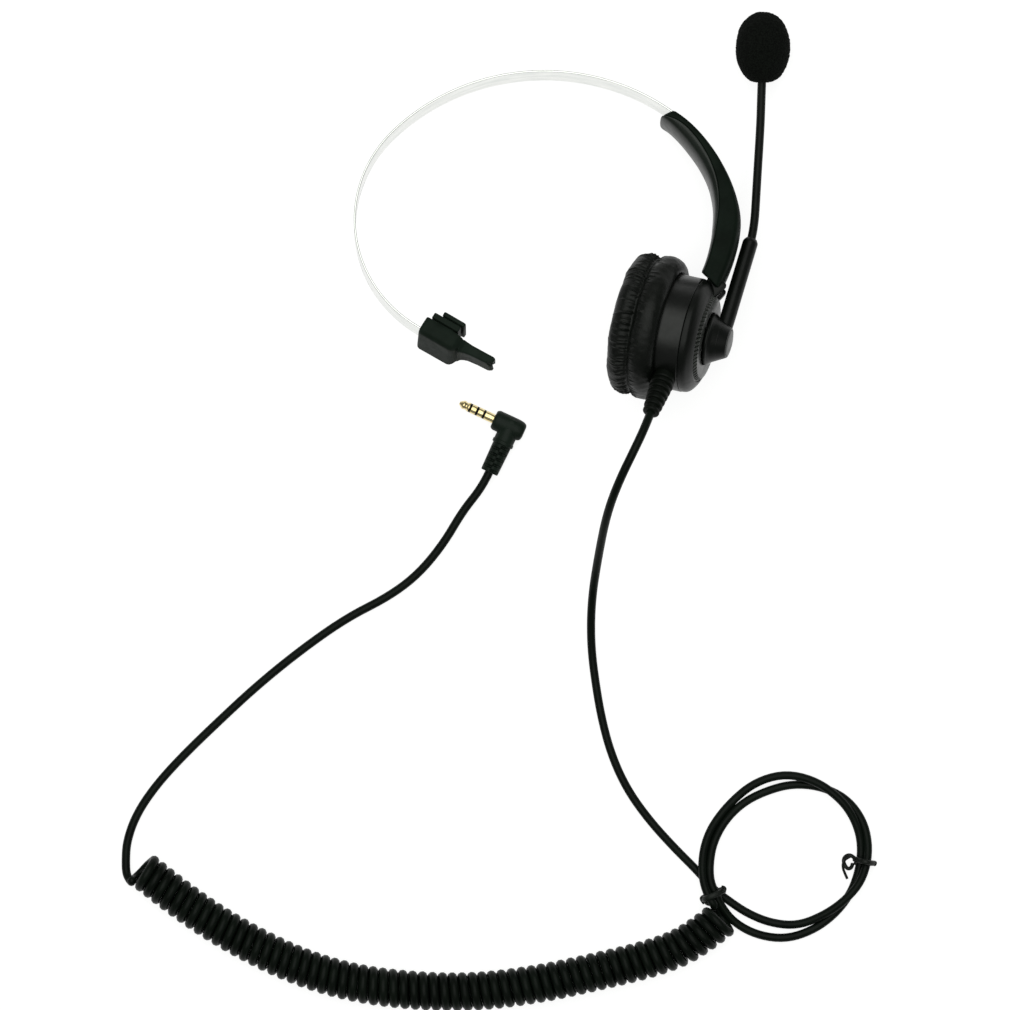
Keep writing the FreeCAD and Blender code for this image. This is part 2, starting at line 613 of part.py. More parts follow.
def make_speaker():
    """Speaker frame, diaphragm and magnet, on the back of the cushion plate."""
    rim = "speaker_radius - speaker_rim"
    back = "seat_height + speaker_depth"
    frame_outline = [
        (rim, "seat_height"), ("speaker_radius", "seat_height"),
        ("speaker_radius", "seat_height + speaker_depth * 0.6"), ("magnet_radius", back),
        ("magnet_radius * 0.6", back), ("magnet_radius * 0.6", back + " - sheet_metal"),
        ("magnet_radius", back + " - sheet_metal"),
        (rim, "seat_height + speaker_depth * 0.6 - sheet_metal"),
    ]
    finish(turned("speaker_frame", frame_outline), "speaker_frame", CUP)
    low = "seat_height + cone_thick"
    cone_outline = [
        ("0", low + " + cone_thick"), ("magnet_radius * 0.6", low + " + cone_thick * 2"),
        (rim + " - turn_gap", low), (rim + " - turn_gap", low + " + cone_thick"),
        ("magnet_radius * 0.6", low + " + cone_thick * 3"), ("0", low + " + cone_thick * 2"),
    ]
    finish(turned("diaphragm", cone_outline), "diaphragm", CUP)
    height = size("seat_height") + size("speaker_depth")
    finish(cylinder("magnet_radius", "magnet_thick"), "speaker_magnet", shifted(CUP, z=height))
    board = block("board_length", "board_width", "board_thick")
    finish(board, "junction_board", shifted(CUP, -size("board_length") / 2, -size("board_width") / 2,
                                            height + size("magnet_thick")))


def make_strain_relief():
    """Ribbed rubber boot: a collar inside the shell, a stem in its hole and a tapered tail."""
    skin = "drum_radius"
    inside = "drum_radius - shell_wall"
    outline = [
        ("0", inside + " - relief_plug_thick"),
        ("relief_root_radius", inside + " - relief_plug_thick"),
        ("relief_root_radius", inside + " - shell_wall * 0.5"),
        ("relief_stem_radius", inside + " - shell_wall * 0.5"),
        ("relief_stem_radius", skin + " + fit_gap"), ("relief_root_radius", skin + " + fit_gap"),
    ]
    count = int(size("relief_ribs"))
    for number in range(1, count + 1):
        share = "%.4f" % (number / count)
        before = "%.4f" % ((number - 0.55) / count)
        after = "%.4f" % ((number - 0.35) / count)
        wide = "relief_root_radius - ( relief_root_radius - relief_tip_radius ) * "
        length = skin + " + relief_length * "
        outline.append((wide + before, length + before))
        outline.append((wide + before + " - relief_rib", length + before))
        outline.append((wide + after + " - relief_rib", length + after))
        outline.append((wide + after, length + after))
        if number == count:
            outline.append((wide + share, length + share))
    outline.append(("0", skin + " + relief_length"))
    finish(turned("strain_relief", outline), "strain_relief", RELIEF)


# ---------------------------------------------------------------- boom
def make_boom_hub():
    """Stepped, tapered knob with its axle, a socket for the sleeve and a seat for the cap."""
    face = "drum_split + shoulder_height + cone_height"
    base = face + " + clear_gap + ring_proud"
    end = base + " + hub_height"
    foot = face + " - axle_length"
    outline = [
        ("hub_screw_radius + turn_gap", foot), ("axle_radius", foot), ("axle_radius", base),
        ("hub_radius", base), ("hub_radius", base + " + hub_step"),
        ("hub_neck_radius", base + " + hub_step"), ("hub_end_radius", end),
        ("cap_radius + fit_gap", end), ("cap_radius + fit_gap", end + " - cap_thick"),
        ("0", end + " - cap_thick"), ("0", base), ("hub_screw_radius + turn_gap", base),
    ]
    socket = cylinder("sleeve_radius", "sleeve_end",
                      Placement(Vector(size("sleeve_start"), 0, size("sleeve_height")),
                                Rotation(Vector(0, 1, 0), 90)))
    finish(cut(turned("hub", outline), socket), "boom_hub", BOOM)
    cap_outline = [
        ("0", end + " - cap_thick"), ("cap_radius", end + " - cap_thick"),
        ("cap_radius", end), ("cap_radius - cap_thick * 0.5", end + " + cap_thick * 0.3"),
        ("0", end + " + cap_thick * 0.3"),
    ]
    finish(turned("hub_cap", cap_outline), "hub_cap", BOOM)
    washer_outline = [
        ("hub_screw_radius + turn_gap", foot + " - washer_thick"),
        ("washer_radius", foot + " - washer_thick"), ("washer_radius", foot),
        ("hub_screw_radius + turn_gap", foot),
    ]
    finish(turned("hub_washer", washer_outline), "hub_washer", BOOM)
    screw_outline = [
        ("0", foot + " - washer_thick * 2.2"), ("hub_screw_head", foot + " - washer_thick * 2.2"),
        ("hub_screw_head", foot + " - washer_thick"), ("hub_screw_radius", foot + " - washer_thick"),
        ("hub_screw_radius", base + " - clear_gap"), ("0", base + " - clear_gap"),
    ]
    finish(turned("hub_screw", screw_outline), "hub_screw", BOOM)


def make_boom_sleeve():
    """Rigid foot of the boom, bored for the gooseneck."""
    place = Placement(Vector(size("sleeve_start"), 0, size("sleeve_height")),
                      Rotation(Vector(0, 1, 0), 90))
    rod = cylinder("sleeve_radius", "sleeve_end - sleeve_start", place)
    bore = cylinder("gooseneck_radius + turn_gap", "neck_socket",
                    shifted(place, z=size("sleeve_end") - size("sleeve_start") - size("neck_socket")))
    finish(cut(rod, bore), "boom_sleeve", BOOM)


def make_gooseneck():
    """Bendable tube: a length from the sleeve to the bend, and one from the bend to the microphone."""
    line = BOOM.Rotation.multVec(Vector(1, 0, 0))
    height = size("sleeve_height")
    start = BOOM.multVec(Vector(size("sleeve_end") - size("neck_socket"), 0, height))
    mouth = BOOM.multVec(Vector(size("sleeve_end") + size("neck_straight"), 0, height))
    into_bend = (BEND_POINT - Vector(*GOOSENECK[-1])).normalize()
    short = BEND_POINT - into_bend * (size("gooseneck_radius") + size("clear_gap"))
    radius = size("gooseneck_radius")
    lower = tube("gooseneck_lower", [start, mouth] + GOOSENECK + [short], radius)
    finish(lower, "gooseneck_lower")
    back_of_mic = along(FOAM_MIDDLE, tip_line, -size("foam_shift") - size("mic_length") / 2)
    upper = tube("gooseneck_upper", [BEND_POINT] + GOOSENECK_TIP + [back_of_mic], radius)
    ball = bind(doc.addObject("Part::Sphere", "Ball"), Radius="gooseneck_radius")
    ball.Placement = Placement(BEND_POINT, Rotation())
    finish(fuse(upper, ball), "gooseneck_upper")


def make_microphone():
    """Microphone housing, its capsule, and the foam windscreen pulled over them."""
    back = "0 - foam_shift - mic_length / 2"
    front = "mic_length / 2 - foam_shift"
    bore = "capsule_radius + turn_gap"
    outline = [
        ("0", back), ("mic_radius - mic_wall", back), ("mic_radius", back + " + mic_wall"),
        ("mic_radius", front), (bore, front), (bore, front + " - capsule_length"),
        ("0", front + " - capsule_length"),
    ]
    finish(turned("mic_housing", outline), "mic_housing", TIP)
    front_at = size("mic_length") / 2 - size("foam_shift")
    finish(cylinder("capsule_radius", "capsule_length"), "mic_capsule",
           shifted(TIP, z=front_at - size("capsule_length")))
    foam = bind(doc.addObject("Part::Ellipsoid", "Egg"), Radius1="foam_half_length",
                Radius2="foam_radius", Radius3="foam_radius")
    hollow = cylinder("mic_radius + clear_gap",
                      "foam_half_length + mic_length / 2 - foam_shift + clear_gap",
                      Placement(Vector(0, 0, -size("foam_half_length")), Rotation()))
    finish(cut(foam, hollow), "foam_windscreen", TIP)


# ---------------------------------------------------------------- hinge and arm
def make_swivel_stem():
    """Eye on the hinge pin, with a stem that the arm turns on and a head that keeps it there."""
    across = Placement(Vector(0, -size("eye_width") / 2, 0), Rotation(Vector(1, 0, 0), -90))
    upward = Placement(Vector(), Rotation(Vector(0, 1, 0), 90))
    eye = cylinder("eye_radius", "eye_width", across)
    stem = cylinder("stem_radius", "stem_length - stem_head_thick / 2", upward)
    head = cylinder("stem_head_radius", "stem_head_thick",
                    shifted(upward, z=size("stem_length") - size("stem_head_thick")))
    hole = cylinder("pin_radius + turn_gap", "eye_width", across)
    finish(cut(fuse(eye, stem, head), hole), "swivel_stem", HINGE)


def make_hinge_pin():
    """Steel pin through both lugs and the eye."""
    length = size("eye_width") + 2 * size("clear_gap") + 2 * size("lug_thick")
    pin = cylinder("pin_radius", "eye_width + clear_gap * 2 + lug_thick * 2")
    finish(pin, "hinge_pin", shifted(HINGE, y=-length / 2, axis=(1, 0, 0), turn=-90))


def arm_place(depth, angle):
    """A sector's placement on the arm's arc, centred across the headband."""
    return shifted(FLAT, size("arm_x"), size("arm_y"), -depth / 2, turn=angle)


def arm_hollow():
    """What both covers make room for: the strip, its slider, and the swivel stem with its head."""
    depth = size("strip_width") + 2 * size("slot_gap")
    place = shifted(FLAT, grip_middle.x, grip_middle.y, -depth / 2,
                    turn=size("grip_angle") - size("grip_length_angle") - size("slot_before"))
    slot = arc_wall("grip_radius - strip_thick / 2 - slot_gap",
                    "grip_radius + strip_thick / 2 + slot_gap", "strip_width + slot_gap * 2",
                    "grip_length_angle + slot_before + slot_after", place)
    run = arc_wall("grip_radius - strip_thick / 2 - slider_thick - slot_gap",
                   "grip_radius + strip_thick / 2 + slot_gap",
                   "strip_width + slot_gap * 2", "grip_length_angle + slot_before - slider_stop", place)
    along_stem = shifted(BAND.inverse().multiply(HINGE), axis=(0, 1, 0), turn=90)
    bore = cylinder("stem_radius + turn_gap", "stem_length", along_stem)
    head = cylinder("stem_head_radius + clear_gap", "stem_head_thick + clear_gap * 2",
                    shifted(along_stem, z=size("stem_length") - size("stem_head_thick")
                            - size("clear_gap")))
    return together(slot, run, bore, head)


def boom_sweep():
    """The room that the boom sleeve needs as it passes over the arm's lower end."""
    low = size("sleeve_height") - size("sleeve_radius") - 2 * size("clear_gap")
    return cylinder("sleeve_end + sleeve_radius", "sleeve_radius * 3",
                    shifted(BAND.inverse().multiply(CUP), z=low))


def arm_screw(gap):
    """The screw through the inner cover into the outer one, or its hole, that much larger."""
    spot = arm_middle + polar(size("arm_inner_radius"), size("arm_screw_angle"))
    place = shifted(FLAT, spot.x, spot.y, 0, turn=size("arm_screw_angle"))
    place = shifted(place, axis=(0, 1, 0), turn=90)
    head = cylinder("screw_head_radius + " + gap, "screw_head_thick + " + gap, place)
    thread = cylinder("screw_radius + " + gap, "arm_thick - shell_wall", place)
    return fuse(head, thread)


def make_arm():
    """Outer and inner cover, bent on one arc, with the screw that joins them."""
    seam = "arm_inner_radius + arm_cover_thick"
    outer = "arm_inner_radius + arm_thick"
    place = arm_place(size("arm_depth"), size("arm_low_angle"))
    span = "arm_top_angle - arm_low_angle"
    limit = size("arm_inner_radius") + size("arm_thick") - HAIR
    cover = rounded(arc_wall(seam, outer, "arm_depth", span, place), size("arm_round"),
                    lambda edge: isinstance(edge.Curve, Part.Circle) and edge.Curve.Radius > limit)
    finish(cut(cover, arm_hollow(), arm_screw("turn_gap"), boom_sweep()), "arm_outer_cover", BAND)
    base = size("arm_inner_radius") + HAIR
    lining = rounded(arc_wall("arm_inner_radius", seam, "arm_depth", span, place), size("arm_round") / 2,
                     lambda edge: isinstance(edge.Curve, Part.Circle) and edge.Curve.Radius < base)
    finish(cut(lining, arm_hollow(), arm_screw("turn_gap")), "arm_inner_cover", BAND)
    finish(arm_screw("0"), "arm_screw", BAND)


# ---------------------------------------------------------------- headband
def make_steel_band():
    """Spring-steel strip on three arcs that run into each other, with a straight tail."""
    half = size("strip_width") / 2

    def stretch(radius, middle, start, span):
        place = shifted(FLAT, middle.x, middle.y, -half, turn=start)
        return arc_wall(radius + " - strip_thick / 2", radius + " + strip_thick / 2", "strip_width",
                        span, place)

    grip = stretch("grip_radius", grip_middle, size("grip_angle") - size("grip_length_angle"),
                   "grip_length_angle")
    crown = stretch("crown_radius", crown_middle, size("grip_angle"), "side_angle - grip_angle")
    side = stretch("side_radius", side_middle, size("side_angle"), "side_end_angle - side_angle")
    tail = block("strip_tail", "strip_thick", "strip_width",
                 shifted(BAND.inverse().multiply(TEMPLE), 0, -size("strip_thick") / 2, -half))
    finish(fuse(grip, crown, side, tail), "steel_band", BAND)


def make_detent_slider():
    """Plastic shoe on the strip's end, which clicks along the arm."""
    half = size("strip_width") / 2
    place = shifted(FLAT, grip_middle.x, grip_middle.y, -half,
                    turn=size("grip_angle") - size("grip_length_angle"))
    shoe = arc_wall("grip_radius - strip_thick / 2 - slider_thick", "grip_radius - strip_thick / 2",
                    "strip_width", "slider_angle", place)
    finish(shoe, "detent_slider", BAND)


def make_temple_block():
    """Block moulded on the strip's end, with two flanges towards the head and a notched stub."""
    deep = size("block_depth")
    outer = size("block_outer")
    body = block("block_length", "block_outer + block_inner", "block_depth",
                 Placement(Vector(size("block_start"), -outer, -deep / 2), Rotation()))
    wedge = block("block_length * 2", "block_outer * 2", "block_depth * 2")
    lean = math.degrees(math.atan(size("block_slant") / deep))
    corner = Placement(Vector(-size("block_length") / 2, -outer, -deep / 2), Rotation())
    wedge.Placement = shifted(corner, axis=(1, 0, 0), turn=-lean)
    wedge.Placement = shifted(wedge.Placement, y=-2 * outer)
    cheek = rounded(cut(body, wedge), size("cheek_round"), lambda edge: edge.BoundBox.YLength < HAIR and
                    edge.BoundBox.XLength < HAIR)
    slit = block("strip_tail", "strip_thick + turn_gap * 2", "strip_width + turn_gap * 2")
    slit.Placement = Placement(Vector(0, -size("strip_thick") / 2 - size("turn_gap"),
                                      -size("strip_width") / 2 - size("turn_gap")), Rotation())
    inner = size("block_inner")
    inset = size("rail_inset")
    parts = [cheek]
    for number in range(2):
        base = inner + number * (size("rail_gap") + size("rail_thick"))
        trim = size("rail_trim") + number * size("rail_step")
        web = block("block_length - %.1f" % (2 * trim + 2 * inset), "rail_gap + %s" % HAIR,
                    "block_depth - %.1f" % (2 * trim + 2 * inset))
        web.Placement = Placement(Vector(size("block_start") + trim + inset, base - HAIR / 2,
                                         -deep / 2 + trim + inset),
                                  Rotation())
        plate = block("block_length - %.1f" % (2 * trim), "rail_thick",
                      "block_depth - %.1f" % (2 * trim))
        plate.Placement = Placement(Vector(size("block_start") + trim, base + size("rail_gap"),
                                           -deep / 2 + trim),
                                    Rotation())
        parts += [web, plate]
    stub = block("stub_length + stub_root * 2", "stub_thick", "stub_depth")
    low = inner - size("stub_thick") + size("stub_rise")
    stub.Placement = Placement(Vector(size("block_length") - size("stub_root"), low,
                                      -size("stub_depth") / 2), Rotation())
    notch = block("notch_depth * 2", "stub_thick * 2", "notch_width")
    tip = size("block_length") + size("stub_root") + size("stub_length")
    notch.Placement = Placement(Vector(tip - size("notch_depth"),
                                       inner - 1.5 * size("stub_thick") + size("stub_rise"),
                                       -size("notch_width") / 2), Rotation())
    finish(cut(fuse(*parts, stub), slit, notch), "temple_block", TEMPLE)


# ---------------------------------------------------------------- cord and plug
def make_cords():
    """Cord to the ring of spare cord, that ring with its ties, the curly cord and the plug's lead."""
    relief_line = RELIEF.Rotation.multVec(Vector(0, 0, 1))
    mouth = RELIEF.multVec(Vector(0, 0, size("drum_radius") + size("relief_length")))
    straight = along(mouth, relief_line, size("cord_exit"))
    radius = size("cord_radius")
    ring_middle = Vector(size("ring_x"), size("ring_y"), 0)
    coil = cut(cylinder("coil_outer_radius", "coil_height", Placement(ring_middle, Rotation())),
               cylinder("coil_inner_radius", "coil_height", Placement(ring_middle, Rotation())))
    coil = rounded(coil, size("coil_round"), lambda edge: isinstance(edge.Curve, Part.Circle)
                   and edge.BoundBox.ZMin > size("coil_height") - HAIR)
    ties = []
    for label, angle in (("twist_tie_one", "tie_one_angle"), ("twist_tie_two", "tie_two_angle")):
        place = shifted(Placement(ring_middle, Rotation()), turn=size(angle))
        place = shifted(place, size("coil_inner_radius") - size("tie_thick"), -size("tie_width") / 2, 0)
        outside = block("coil_outer_radius - coil_inner_radius + tie_thick * 2", "tie_width",
                        "coil_height + tie_thick", place)
        inside = block("coil_outer_radius - coil_inner_radius", "tie_width * 2",
                       "coil_height - tie_thick",
                       shifted(place, size("tie_thick"), -size("tie_width") / 2, size("tie_thick")))
        ties.append((label, cut(outside, inside)))
    finish(cut(coil, *[tie for label, tie in ties]), "cord_ring")
    for label, tie in ties:
        finish(tie, label)
    cord = tube("headset_cord", [mouth, straight] + HEADSET_CORD, radius)
    finish(cut(cord, coil), "headset_cord")
    curl = tube("curly_cord", CURLY_CORD, size("curl_radius"))
    curl = cut(curl, cylinder("coil_outer_radius", "curl_radius * 3",
                              Placement(ring_middle, Rotation())))
    finish(curl, "curly_cord")
    boot_end = PLUG.multVec(Vector(size("leg_offset"), -size("leg_length") - size("boot_length"), 0))
    leg_line = PLUG.Rotation.multVec(Vector(0, -1, 0))
    before_boot = along(boot_end, leg_line, size("boot_straight"))
    lead = tube("plug_lead", PLUG_LEAD + [before_boot, boot_end], radius)
    finish(cut(lead, curl), "plug_lead")


def make_plug():
    """Right-angle 3.5 mm plug with four contacts, its moulded body and its slotted boot."""
    end = "0 - jack_length"
    first = end + " + jack_first_band"
    nose = end + " + jack_radius"
    core_outline = [("0", nose), ("jack_core_radius", nose)]
    for number in range(3):
        low = first + " + jack_step * %d" % number
        high = low + " + jack_band"
        core_outline += [("jack_core_radius", low), ("jack_radius", low), ("jack_radius", high),
                         ("jack_core_radius", high)]
    core_outline += [("jack_core_radius", "0"), ("0", "0")]
    along_pin = shifted(PLUG, axis=(0, 1, 0), turn=90)
    finish(turned("plug_insulator", core_outline), "plug_insulator", along_pin)
    tip_outline = [
        ("0", end), ("jack_radius * 0.35", end), ("jack_radius", nose),
        ("jack_radius * 0.75", end + " + jack_radius * 1.7"),
        ("jack_radius", first + " - jack_band * 0.5"), ("jack_radius", first),
        ("jack_core_radius", first), ("jack_core_radius", nose), ("0", nose),
    ]
    finish(turned("plug_tip", tip_outline), "plug_tip", along_pin)
    for number, label in enumerate(("plug_ring_one", "plug_ring_two", "plug_sleeve")):
        low = first + " + jack_step * %d + jack_band" % number
        high = first + " + jack_step * %d" % (number + 1)
        if label == "plug_sleeve":
            high = "0"
        outline = [("jack_core_radius", low), ("jack_radius", low), ("jack_radius", high),
                   ("jack_core_radius", high)]
        finish(turned(label, outline), label, along_pin)
    barrel = turned("barrel", [("0", "0"), ("barrel_radius - barrel_edge", "0"),
                               ("barrel_radius", "barrel_edge"),
                               ("barrel_radius", "barrel_length - barrel_dome"),
                               ("barrel_radius - barrel_dome", "barrel_length"),
                               ("0", "barrel_length")])
    barrel.Placement = Placement(Vector(), Rotation(Vector(0, 1, 0), 90))
    leg = cylinder("leg_radius", "leg_length", Placement(Vector(size("leg_offset"), 0, 0),
                                                         Rotation(Vector(1, 0, 0), 90)))
    finish(fuse(barrel, leg), "plug_body", PLUG)
    boot_place = Placement(Vector(size("leg_offset"), -size("leg_length"), 0),
                           Rotation(Vector(1, 0, 0), 90))
    boot = cylinder("boot_radius", "boot_length", boot_place)
    slots = []
    for number in range(5):
        height = size("slot_start") + number * (size("boot_length") - size("slot_end")) / 5
        for side, shift in ((1, 0.0), (-1, size("slot_stagger"))):
            slot = block("boot_slot_depth * 2", "boot_radius * 3", "boot_slot")
            slot.Placement = shifted(boot_place, side * size("boot_radius") - size("boot_slot_depth"),
                                     -1.5 * size("boot_radius"), height + shift)
            slots.append(slot)
    finish(cut(boot, together(*slots)), "plug_boot", PLUG)


# ---------------------------------------------------------------- build, check and write
make_ear_cushion()
make_cushion_plate()
finish(plate_screws("0"), "plate_screws", CUP)
make_front_shell()
make_rear_shell()
make_knurled_ring()
make_speaker()
make_strain_relief()
make_boom_hub()
make_boom_sleeve()
make_gooseneck()
make_microphone()
make_swivel_stem()
make_hinge_pin()
make_arm()
make_steel_band()
make_detent_slider()
make_temple_block()
make_cords()
make_plug()
doc.recompute()

for item in doc.Objects:
    if "Invalid" in item.State or "Error" in item.State:
        raise RuntimeError("%s (%s) did not build: %s" % (item.Name, item.Label, item.State))
for piece in PIECES:
    if piece.Shape.isNull() or not piece.Shape.isValid():
        raise RuntimeError("%s has no valid shape" % piece.Label)

os.makedirs("parts", exist_ok=True)
for piece in PIECES:
    piece.Shape.exportStep(os.path.join("parts", piece.Label + ".step"))
    print("%-18s %d solid(s), volume %.1f" % (piece.Label, len(piece.Shape.Solids), piece.Shape.Volume))
print("%d sub-parts" % len(PIECES))
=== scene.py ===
import json
import math

import bmesh
import bpy
import numpy as np
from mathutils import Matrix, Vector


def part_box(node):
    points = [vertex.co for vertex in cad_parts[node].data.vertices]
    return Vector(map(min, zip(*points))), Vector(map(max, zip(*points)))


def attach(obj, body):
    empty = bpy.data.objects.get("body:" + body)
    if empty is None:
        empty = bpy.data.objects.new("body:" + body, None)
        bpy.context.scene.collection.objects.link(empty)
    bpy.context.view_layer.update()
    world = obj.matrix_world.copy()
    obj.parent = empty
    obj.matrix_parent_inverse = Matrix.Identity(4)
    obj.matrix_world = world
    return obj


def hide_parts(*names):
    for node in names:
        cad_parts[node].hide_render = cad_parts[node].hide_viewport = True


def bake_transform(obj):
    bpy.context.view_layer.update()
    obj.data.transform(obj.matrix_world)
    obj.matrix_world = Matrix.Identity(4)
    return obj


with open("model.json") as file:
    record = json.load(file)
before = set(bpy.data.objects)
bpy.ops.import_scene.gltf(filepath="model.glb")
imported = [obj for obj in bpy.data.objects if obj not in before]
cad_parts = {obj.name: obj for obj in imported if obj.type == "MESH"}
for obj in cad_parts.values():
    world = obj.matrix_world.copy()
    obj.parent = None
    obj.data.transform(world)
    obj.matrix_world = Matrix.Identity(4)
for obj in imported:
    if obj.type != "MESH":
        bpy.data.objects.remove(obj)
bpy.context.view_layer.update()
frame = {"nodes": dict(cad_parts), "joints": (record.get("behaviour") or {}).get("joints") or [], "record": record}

MM = 0.001
UP = np.array([0.0, 0.0, 1.0])


# ---------------------------------------------------------------- places, in the model's frame
def unit(vector):
    """The same direction with length one."""
    vector = np.asarray(vector, float)
    return vector / np.linalg.norm(vector, axis=-1, keepdims=True)


def place(origin, z_axis, x_axis):
    """An origin in metres with three axes as rows; x is made square to z."""
    z_axis = unit(z_axis)
    x_axis = unit(x_axis - z_axis * np.dot(x_axis, z_axis))
    return np.asarray(origin, float), np.stack([x_axis, np.cross(z_axis, x_axis), z_axis])


def moved(at, x=0.0, y=0.0, z=0.0):
    """The same axes at a point given in millimetres in that place."""
    return laid([x, y, z], at), at[1]


def turned(at, degrees):
    """The same place turned about its own z axis."""
    x_axis = at[1][0] * math.cos(math.radians(degrees)) + at[1][1] * math.sin(math.radians(degrees))
    return place(at[0], at[1][2], x_axis)


def laid(points, at):
    """Points in millimetres in a place, as metres in the model's frame."""
    return at[0] + np.asarray(points, float) * MM @ at[1]


def polar(radius, degrees):
    """Two numbers: a length at an angle."""
    return np.array([math.cos(math.radians(degrees)), math.sin(math.radians(degrees))]) * radius


def middle_of(node):
    """The middle of a node's box."""
    low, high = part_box(node)
    return np.array((low + high) / 2)


JOINTS = {joint["name"]: joint for joint in frame["joints"]}
MOUNTS = {mount["name"]: mount for mount in frame["record"]["mounts"]}
PIVOT_ABOVE_SEAM = 25.0
cup_axis = unit(JOINTS["boom_turn"]["axis"])
CUP = place(np.array(JOINTS["boom_turn"]["pos_m"]) - cup_axis * PIVOT_ABOVE_SEAM * MM, cup_axis,
            np.cross(UP, cup_axis))
BOOM = turned(CUP, -19.3)
relief_side = turned(CUP, 145.0)
RELIEF = place(moved(CUP, z=13.4)[0], relief_side[1][0], cup_axis)
band_normal = unit(JOINTS["band_slide"]["axis"])
BAND = place(JOINTS["band_slide"]["pos_m"], band_normal, [1.0, 0.0, 0.0])
stem_axis = unit(JOINTS["cup_swivel"]["axis"])
HINGE = place(JOINTS["cup_tilt"]["pos_m"], stem_axis, band_normal)
housing_middle = middle_of("mic_housing")
mic_line = unit(middle_of("mic_capsule") - housing_middle)
FOAM = place(housing_middle + mic_line * 1.5 * MM, mic_line, np.cross(UP, mic_line))
pin_line = unit(MOUNTS["plug_pin"]["axis"])
PLUG = place(np.array(MOUNTS["plug_pin"]["pos_m"]) - pin_line * 5.2 * MM, UP, -pin_line)

# arcs of the headband, in the band's plane about the middle of the arc that slides in the arm
GRIP_RADIUS = 49.5
CROWN_RADIUS = 78.2
SIDE_RADIUS = 48.7
GRIP_ANGLES = (8.0, 52.0)
CROWN_ANGLES = (52.0, 135.5)
SIDE_ANGLES = (135.5, 238.6)
crown_middle = -polar(CROWN_RADIUS - GRIP_RADIUS, CROWN_ANGLES[0])
side_middle = crown_middle + polar(CROWN_RADIUS - SIDE_RADIUS, SIDE_ANGLES[0])
strip_end = side_middle + polar(SIDE_RADIUS, SIDE_ANGLES[1])
TEMPLE = turned(moved(BAND, *strip_end), SIDE_ANGLES[1] + 90)
GRIP = moved(TEMPLE, 1.0, 0.0)
ARM = moved(BAND, -1.87, -3.82)

# ---------------------------------------------------------------- routes, in metres
HEADSET_CORD = [
    (.0216, -.0886, .0582), (.0172, -.0976, .0564), (.0136, -.1065, .0507), (.0113, -.1147, .0421),
    (.0098, -.1226, .0319), (.0084, -.1309, .0219), (.0071, -.1397, .0139), (.0064, -.1497, .0079),
    (.0066, -.1612, .0041), (.0080, -.1729, .0023), (.0103, -.1867, .0017), (.0139, -.2003, .0017),
    (.0196, -.2130, .0017), (.0277, -.2244, .0017), (.0371, -.2348, .0017), (.0460, -.2436, .0017),
    (.0516, -.2502, .0017),
]
CURLY_CORD = [
    (-.1597, -.2425, .0072), (-.1456, -.2540, .0072), (-.1252, -.2673, .0072), (-.1023, -.2786, .0072),
    (-.0808, -.2850, .0072), (-.0586, -.2877, .0072), (-.0370, -.2882, .0072), (-.0140, -.2854, .0072),
    (.0085, -.2806, .0072), (.0310, -.2752, .0072), (.0448, -.2692, .0072), (.0555, -.2604, .0072),
]
PLUG_LEAD = [
    (-.1632, -.2478, .0052), (-.1652, -.2452, .0030), (-.1656, -.2405, .0019), (-.1652, -.2325, .0017),
    (-.1616, -.2225, .0017),
    (-.1545, -.2120, .0017), (-.1445, -.2010, .0017), (-.1310, -.1880, .0017), (-.1170, -.1750, .0017),
    (-.1010, -.1620, .0017), (-.0840, -.1500, .0017), (-.0685, -.1422, .0017), (-.0575, -.1340, .0017),
    (-.0480, -.1225, .0019), (-.0410, -.1105, .0026),
]
GOOSENECK = [(.0667, -.0030, .0179), (.0672, .0046, .0156), (.0678, .0140, .0134)]
GOOSENECK_TIP = [(.0684, .0231, .0118), (.0690, .0330, .0107), (.0693, .0425, .0101)]
# the ring of spare cord: angle, radius and height of the points of its two turns, in millimetres
RING_MIDDLE = np.array([.0783, -.2381])
RING_TURNS = [
    (216, 26.9, 1.7), (236, 25.4, 1.7), (258, 25.3, 1.7), (280, 26.1, 1.8), (302, 26.0, 3.2),
    (322, 27.3, 4.9), (342, 29.8, 4.9), (2, 31.1, 3.0), (22, 31.9, 1.7), (42, 31.4, 1.7),
    (62, 29.2, 1.7), (84, 27.0, 1.7), (106, 25.2, 1.7), (128, 25.3, 1.7), (150, 26.0, 1.7),
    (170, 27.2, 2.4), (187, 28.3, 4.0), (199, 29.3, 4.9), (208, 29.1, 4.9),
    (217, 30.0, 4.0), (232, 31.0, 2.2), (250, 31.0, 1.7), (270, 30.7, 1.7), (290, 29.3, 1.7),
    (310, 28.3, 1.7), (330, 28.0, 1.7), (350, 28.0, 1.7), (10, 28.8, 1.9), (28, 29.2, 3.2),
    (46, 29.6, 4.9), (68, 30.2, 4.9), (90, 30.7, 3.2), (112, 29.6, 1.8), (134, 28.4, 1.7),
    (156, 29.2, 1.8), (172, 30.2, 3.0), (186, 31.0, 4.6), (197, 31.7, 5.6), (206, 32.0, 6.2),
]
CORD_RADIUS = 1.6
# in the curl the jacket is thicker by this factor, but for a few control points at each end
CURL_SWELL = 1.12
CURL_EASE = 4
CURL_MEAN_RADIUS = 5.55
CURL_TURNS = 61.5
CURL_POINTS = 13


# ---------------------------------------------------------------- materials
def linear(code, alpha=1.0):
    """An sRGB hex colour as linear numbers: low values are divided, the rest raised to 2.4."""
    values = np.array([int(code[at:at + 2], 16) for at in (1, 3, 5)]) / 255
    values = np.where(values <= 0.04045, values / 12.92, ((values + 0.055) / 1.055) ** 2.4)
    return (*values, alpha)


